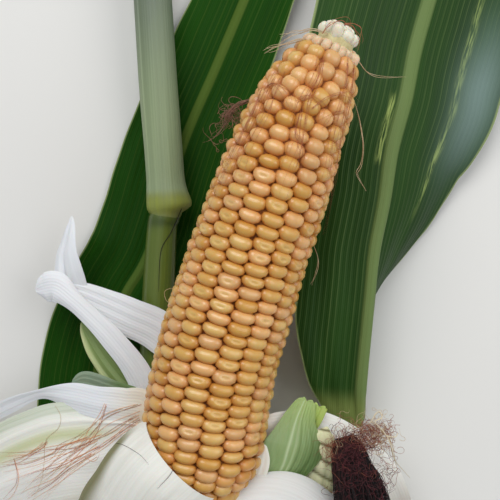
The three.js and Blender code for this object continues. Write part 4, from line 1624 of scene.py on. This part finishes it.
# A loose wisp from the tuft's upper end: it sets off outwards and winds about its own heading
def wispPath():
    start = np.array([dice.uniform(*silk["wispStarts"])])
    values, _, side, normal = (row[0] for row in frames(silkLine, start))
    angle = dice.uniform(*silk["wispTurns"])
    outward = side * math.cos(angle) + normal * math.sin(angle)
    place = values[:3] + values[3] * dice.uniform(*silk["wispDepths"]) * outward
    aside = np.array([dice.uniform(-0.4, 0.5), dice.uniform(-0.5, 1.1), 0.05])
    heading = unit(outward * (0.9, 0.9, 0.25) + aside)
    first = unit(np.cross(heading, [0.2, 0.1, 1.0]))
    second = np.cross(heading, first)
    reach = dice.uniform(*silk["wispReach"])
    share = np.linspace(0, 1, 20)[:, None]
    curl = dice.uniform(*silk["wispCurls"]) * share ** 0.7
    wind = share * dice.uniform(*silk["wispWinds"]) + dice.uniform(0, 6)
    bend = stray(silk["wispBend"]) * reach * share ** 2
    path = place + heading * reach * share + first * (curl * np.cos(wind) + bend)
    path = path + second * curl * np.sin(wind) * 0.6
    path[:, 2] -= silk["wispSag"] * (reach * share[:, 0]) ** 2
    return path


# Places in the camera's square view, 500 units wide, at a height in mm
def viewShare(x, y):
    middle = view["pixels"] / 2
    return (x - middle) / middle * view["halfField"], (middle - y) / middle * view["halfField"]


def spot(x, y, z):
    right, up = viewShare(x, y)
    depth = view["height"] - z
    return np.stack([right * depth, up * depth, z], axis=-1)


def curlPath(centre, scatter, levels):
    x, y = dice.normal(centre, scatter)
    start = spot(x, y, dice.uniform(*levels))
    share = np.linspace(0, 1, silk["points"])
    swing = dice.uniform(*silk["curlSwing"]) * looseWave(share, 4, 12)
    heading = dice.uniform(0, 6.28) + stray(silk["curlTurn"]) * share + swing
    rise = dice.uniform(*silk["curlRise"]) * looseWave(share, 4, 11)
    reach = dice.uniform(*silk["curlReach"])
    step = np.stack([np.cos(heading), np.sin(heading), rise], axis=1) * reach / len(share)
    return start + np.cumsum(step, axis=0) - step.sum(axis=0) / 2


def curlsAt(spots):
    return [curlPath(*rule) for *rule, count in spots for _ in range(count)]


def makeSilk(skins):
    creases, creaseDepth = silk["coreCreases"]
    core = corePiece(
        "silk_core", silkLine, 50, 28, skins["dark"],
        lambda radius, angle: radius * silk["coreShare"] + creaseDepth * np.sin(angle * creases),
    )
    own(core, "silk", "silk_tuft")
    red, pale = [], []
    for rule, paleCount in zip(silk["curls"]["red"], silk["paleCurls"]):
        red += curlsAt([rule])
        pale += curlsAt([(*rule[:3], paleCount)])
    groups = (
        ("silk_wine_curls", curlsAt(silk["curls"]["tuft"]), "wine", silk["curlThickness"]),
        ("silk_threads", [silkPath() for _ in range(silk["threads"])], "dark", silk["thickness"]),
        ("silk_red_threads", [silkPath() for _ in range(silk["redThreads"])], "red", silk["redThickness"]),
        ("silk_wisps", [wispPath() for _ in range(silk["wisps"])], "frizz", silk["curlThickness"]),
        ("silk_red_curls", red, "frizz", silk["curlThickness"]),
        ("silk_pale_curls", pale, "straw", silk["curlThickness"]),
    )
    for name, paths, skin, thickness in groups:
        own(threadPiece(name, paths, thickness, skins[skin]), "silk", "silk_tuft")


# Strands that lie on other pieces
laid = {
    "points": 46,
    "lift": 0.24,  # over the surface, in mm
    "steepest": 0.6,  # fall from one point to the next, in mm
    "starts": (0, 0.08),  # shares of the route
    "ends": (0.8, 1.0),
    "fan": 0.45,  # share of the spread reached at the strands' ends
    "loose": 0.34,  # share of the spread at their starts
    "waves": (4, 14),
}


def groundOf(pieces):
    points, faces = [], []
    for piece in pieces:
        start = len(points)
        points += [corner.co.copy() for corner in piece.data.vertices]
        faces += [[start + k for k in face.vertices] for face in piece.data.polygons]
    return BVHTree.FromPolygons(points, faces)


def laidOn(ground, places):
    eye = Vector(eyePlace * millimetre)
    heights = []
    for place in places:
        hit = ground.ray_cast(eye, Vector((*viewShare(*place), -1)))[0]
        heights.append(hit.z / millimetre - originShift[2] if hit else np.nan)
    heights = np.array(heights)
    steps = np.arange(len(heights))
    met = ~np.isnan(heights)
    heights = np.interp(steps, steps[met], heights[met])
    padded = np.pad(heights, 1, mode="edge")
    over = np.maximum(heights, np.maximum(padded[:-2], padded[2:]) - laid["steepest"])
    padded = np.pad(over, 1, mode="edge")
    over = np.maximum(over, (padded[:-2] + 2 * over + padded[2:]) / 4)
    return spot(places[:, 0], places[:, 1], over + laid["lift"])


def strandsOn(ground, groups):
    made = []
    for route, count, scatter, wave in groups:
        for _ in range(count):
            start, end = dice.uniform(*laid["starts"]), dice.uniform(*laid["ends"])
            share = np.linspace(start, end, laid["points"])
            base = along(route, share)[:, :2]
            share = share[:, None]
            drift = dice.normal(0, laid["fan"], 2) * scatter * share + stray(laid["loose"], 2) * scatter
            turns = share * dice.uniform(*laid["waves"], 2) + dice.uniform(0, 6, 2)
            made.append(laidOn(ground, base + drift + wave * np.sin(turns) * share ** 0.5))
    return made


# route, strands, spread and wave in view units
huskStrands = [
    ([(141, 418), (125, 427), (105, 440), (75, 458), (50, 478), (22, 506)], 7, 13, 2.4),
    ([(136, 408), (110, 418), (95, 430), (75, 450), (45, 480), (18, 506)], 5, 17, 2.4),
    ([(110, 400), (105, 415), (97, 430), (85, 445), (50, 465), (-8, 487)], 3, 14, 2),
    ([(104, 438), (82, 447), (60, 452), (30, 458), (-8, 464)], 4, 14, 2),
    ([(100, 440), (70, 455), (40, 466), (-8, 481)], 4, 14, 2),
    ([(52, 402), (60, 415), (58, 428), (45, 440), (43, 460), (40, 480), (30, 504)], 1, 2, 0.6),
    ([(13, 458), (15, 475), (10, 490), (-4, 504)], 2, 6, 1),
    ([(46, 441), (35, 450), (20, 455), (-6, 456)], 3, 8, 1),
    ([(46, 441), (38, 450), (18, 460), (-6, 466)], 3, 8, 1),
    ([(88, 436), (60, 447), (48, 457), (20, 467), (-6, 470)], 4, 12, 1.4),
    ([(96, 454), (70, 470), (55, 482), (35, 492), (20, 504)], 4, 12, 1),
    ([(84, 456), (92, 461), (98, 458), (100, 447)], 1, 1, 0.3),
]
frontStrands = [
    ([(115, 443), (125, 446), (140, 455), (151, 468)], 1, 1, 0.3),
    ([(173, 470), (165, 481), (155, 490)], 1, 1, 0.3),
]
stemStrands = [([(182, 208), (172, 231), (162, 248), (160, 272), (159, 296)], 1, 1, 0.3)]
earStrands = [
    ([(352, 60), (350, 85), (345, 110), (338, 140), (333, 170), (327, 200), (319, 238)], 9, 14, 1.6),
    ([(322, 58), (318, 80), (308, 100), (303, 125), (300, 150), (292, 175), (284, 205)], 7, 14, 1.6),
    ([(283, 68), (270, 95), (262, 115), (250, 140), (238, 165), (226, 200)], 7, 16, 1.8),
    ([(264, 86), (255, 110), (243, 135), (232, 160), (220, 190), (212, 214)], 5, 7, 1.4),
    ([(262, 92), (272, 84), (284, 90), (292, 108), (286, 120)], 4, 8, 2),
    ([(296, 100), (310, 96), (322, 108), (318, 124)], 4, 8, 2),
    ([(312, 110), (330, 96), (347, 92), (356, 100)], 3, 6, 1.4),
    ([(300, 112), (297, 130), (304, 148), (300, 162)], 6, 8, 1.4),
    ([(344, 112), (330, 118), (318, 132)], 3, 6, 1.4),
]
hanging = {"points": 30, "fan": 0.5, "wave": 0.35, "waves": (4, 15)}  # fan and wave as shares of the spread
# route with heights in mm, strands, spread in mm: strands that hang free of the surfaces
freeStrands = {
    "tuft": [
        ([(257, 97, 62), (246, 101, 61), (236, 106, 59), (226, 116, 57), (222, 128, 54)], 12, 1.6),
        ([(257, 99, 62), (244, 104, 60), (232, 110, 58), (226, 122, 56), (216, 134, 53),
          (208, 138, 52)], 5, 2),
        ([(255, 103, 61), (244, 110, 59), (236, 120, 56), (234, 132, 55)], 5, 1.8),
    ],
    "straw": [
        ([(330, 42, 72), (305, 40, 71), (285, 45, 70), (266, 52, 69)], 6, 1.8),
        ([(328, 34, 73), (312, 30, 73), (296, 34, 72), (280, 40, 71)], 4, 1.8),
        ([(352, 50, 71), (360, 64, 68), (372, 76, 66), (404, 79, 64)], 2, 1.2),
        ([(354, 100, 62), (360, 122, 58), (363, 145, 56), (361, 165, 54), (357, 176, 54),
          (366, 192, 53)], 2, 0.8),
        ([(178, 318, 54), (173, 306, 54), (166, 300, 54), (165, 291, 54), (173, 288, 54),
          (176, 296, 54)], 1, 0.2),
        ([(223, 176, 52), (216, 186, 50), (214, 196, 50), (218, 206, 50)], 2, 0.8),
        ([(314, 246, 45), (318, 260, 42), (315, 274, 41), (310, 284, 40)], 2, 0.6),
        ([(378, 428, 53), (388, 438, 51), (392, 452, 49), (396, 470, 46)], 3, 1.2),
    ],
    "loop": [
        ([(370, 423, 59), (373, 418, 60), (376, 413, 60), (380, 412, 60), (382, 418, 60),
          (375, 422, 60), (384, 432, 60),
          (391, 445, 60), (395, 460, 57), (403, 470, 52), (410, 478, 47)], 1, 0.1),
        ([(387, 436, 59), (395, 437, 59), (398, 433, 59)], 1, 0.1),
    ],
    "tipHair": [
        ([(322, 34, 74), (330, 24, 75), (342, 20, 75), (352, 26, 74)], 4, 1.6),
        ([(344, 24, 75), (354, 26, 74), (360, 36, 72), (358, 48, 70)], 4, 1.6),
        ([(326, 40, 74), (322, 46, 73), (316, 56, 71)], 4, 1.4),
    ],
}


def freePaths(groups):
    made = []
    share = np.linspace(0, 1, hanging["points"])[:, None]
    for route, count, scatter in groups:
        base = along(route, share[:, 0])[:, :3]
        centre = spot(base[:, 0], base[:, 1], base[:, 2])
        for _ in range(count):
            drift = dice.normal(0, hanging["fan"], 3) * scatter * share
            turns = share * dice.uniform(*hanging["waves"], 3) + dice.uniform(0, 6, 3)
            wave = hanging["wave"] * scatter * np.sin(turns)
            made.append(centre + drift + wave * share)
    return made


def makeStrands(skins):
    ground = groundOf(dressed)
    onHusk = strandsOn(ground, huskStrands)
    curls = silk["curls"]
    sideCurls = curlsAt(curls["ear"])
    groups = (
        ("husk_orange_strands", "husk_lower_left", "husk", onHusk[::2], 0.18, "husk"),
        ("husk_red_strands", "husk_lower_left", "husk", onHusk[1::4], 0.18, "rust"),
        ("husk_pale_strands", "husk_lower_left", "husk", onHusk[3::4], 0.18, "straw"),
        ("front_strands", "husk_front", "husk", strandsOn(ground, frontStrands), 0.18, "red"),
        ("stem_strand", "stalk", "stalk", strandsOn(ground, stemStrands), 0.36, "dark"),
        ("ear_strands", "ear", "kernels", strandsOn(ground, earStrands), 0.12, "ear"),
        ("side_tuft", "ear", "kernels", freePaths(freeStrands["tuft"]) + sideCurls, 0.24, "tuft"),
        ("pale_loop", "silk_tuft", "silk", freePaths(freeStrands["loop"]), 0.6, "cream"),
        ("straw_strands", "ear", "kernels", freePaths(freeStrands["straw"]), 0.3, "straw"),
        ("tip_hairs", "cob_tip", "cob", freePaths(freeStrands["tipHair"]), 0.2, "ear"),
        ("silk_edge_curls", "silk_tuft", "silk", curlsAt(curls["edge"]), silk["curlThickness"], "frizz"),
    )
    for name, dresses, slot, paths, thickness, skin in groups:
        own(threadPiece(name, paths, thickness, skins[skin]), slot, dresses)


silkSkins = {name: plainSkin(f"{name}Silk", *tones, 0.65, 600.0) for name, tones in silk["tones"].items()}
makeSilk(silkSkins)
print("stage: silk tuft")
makeStrands(silkSkins)
print("stage: loose strands")
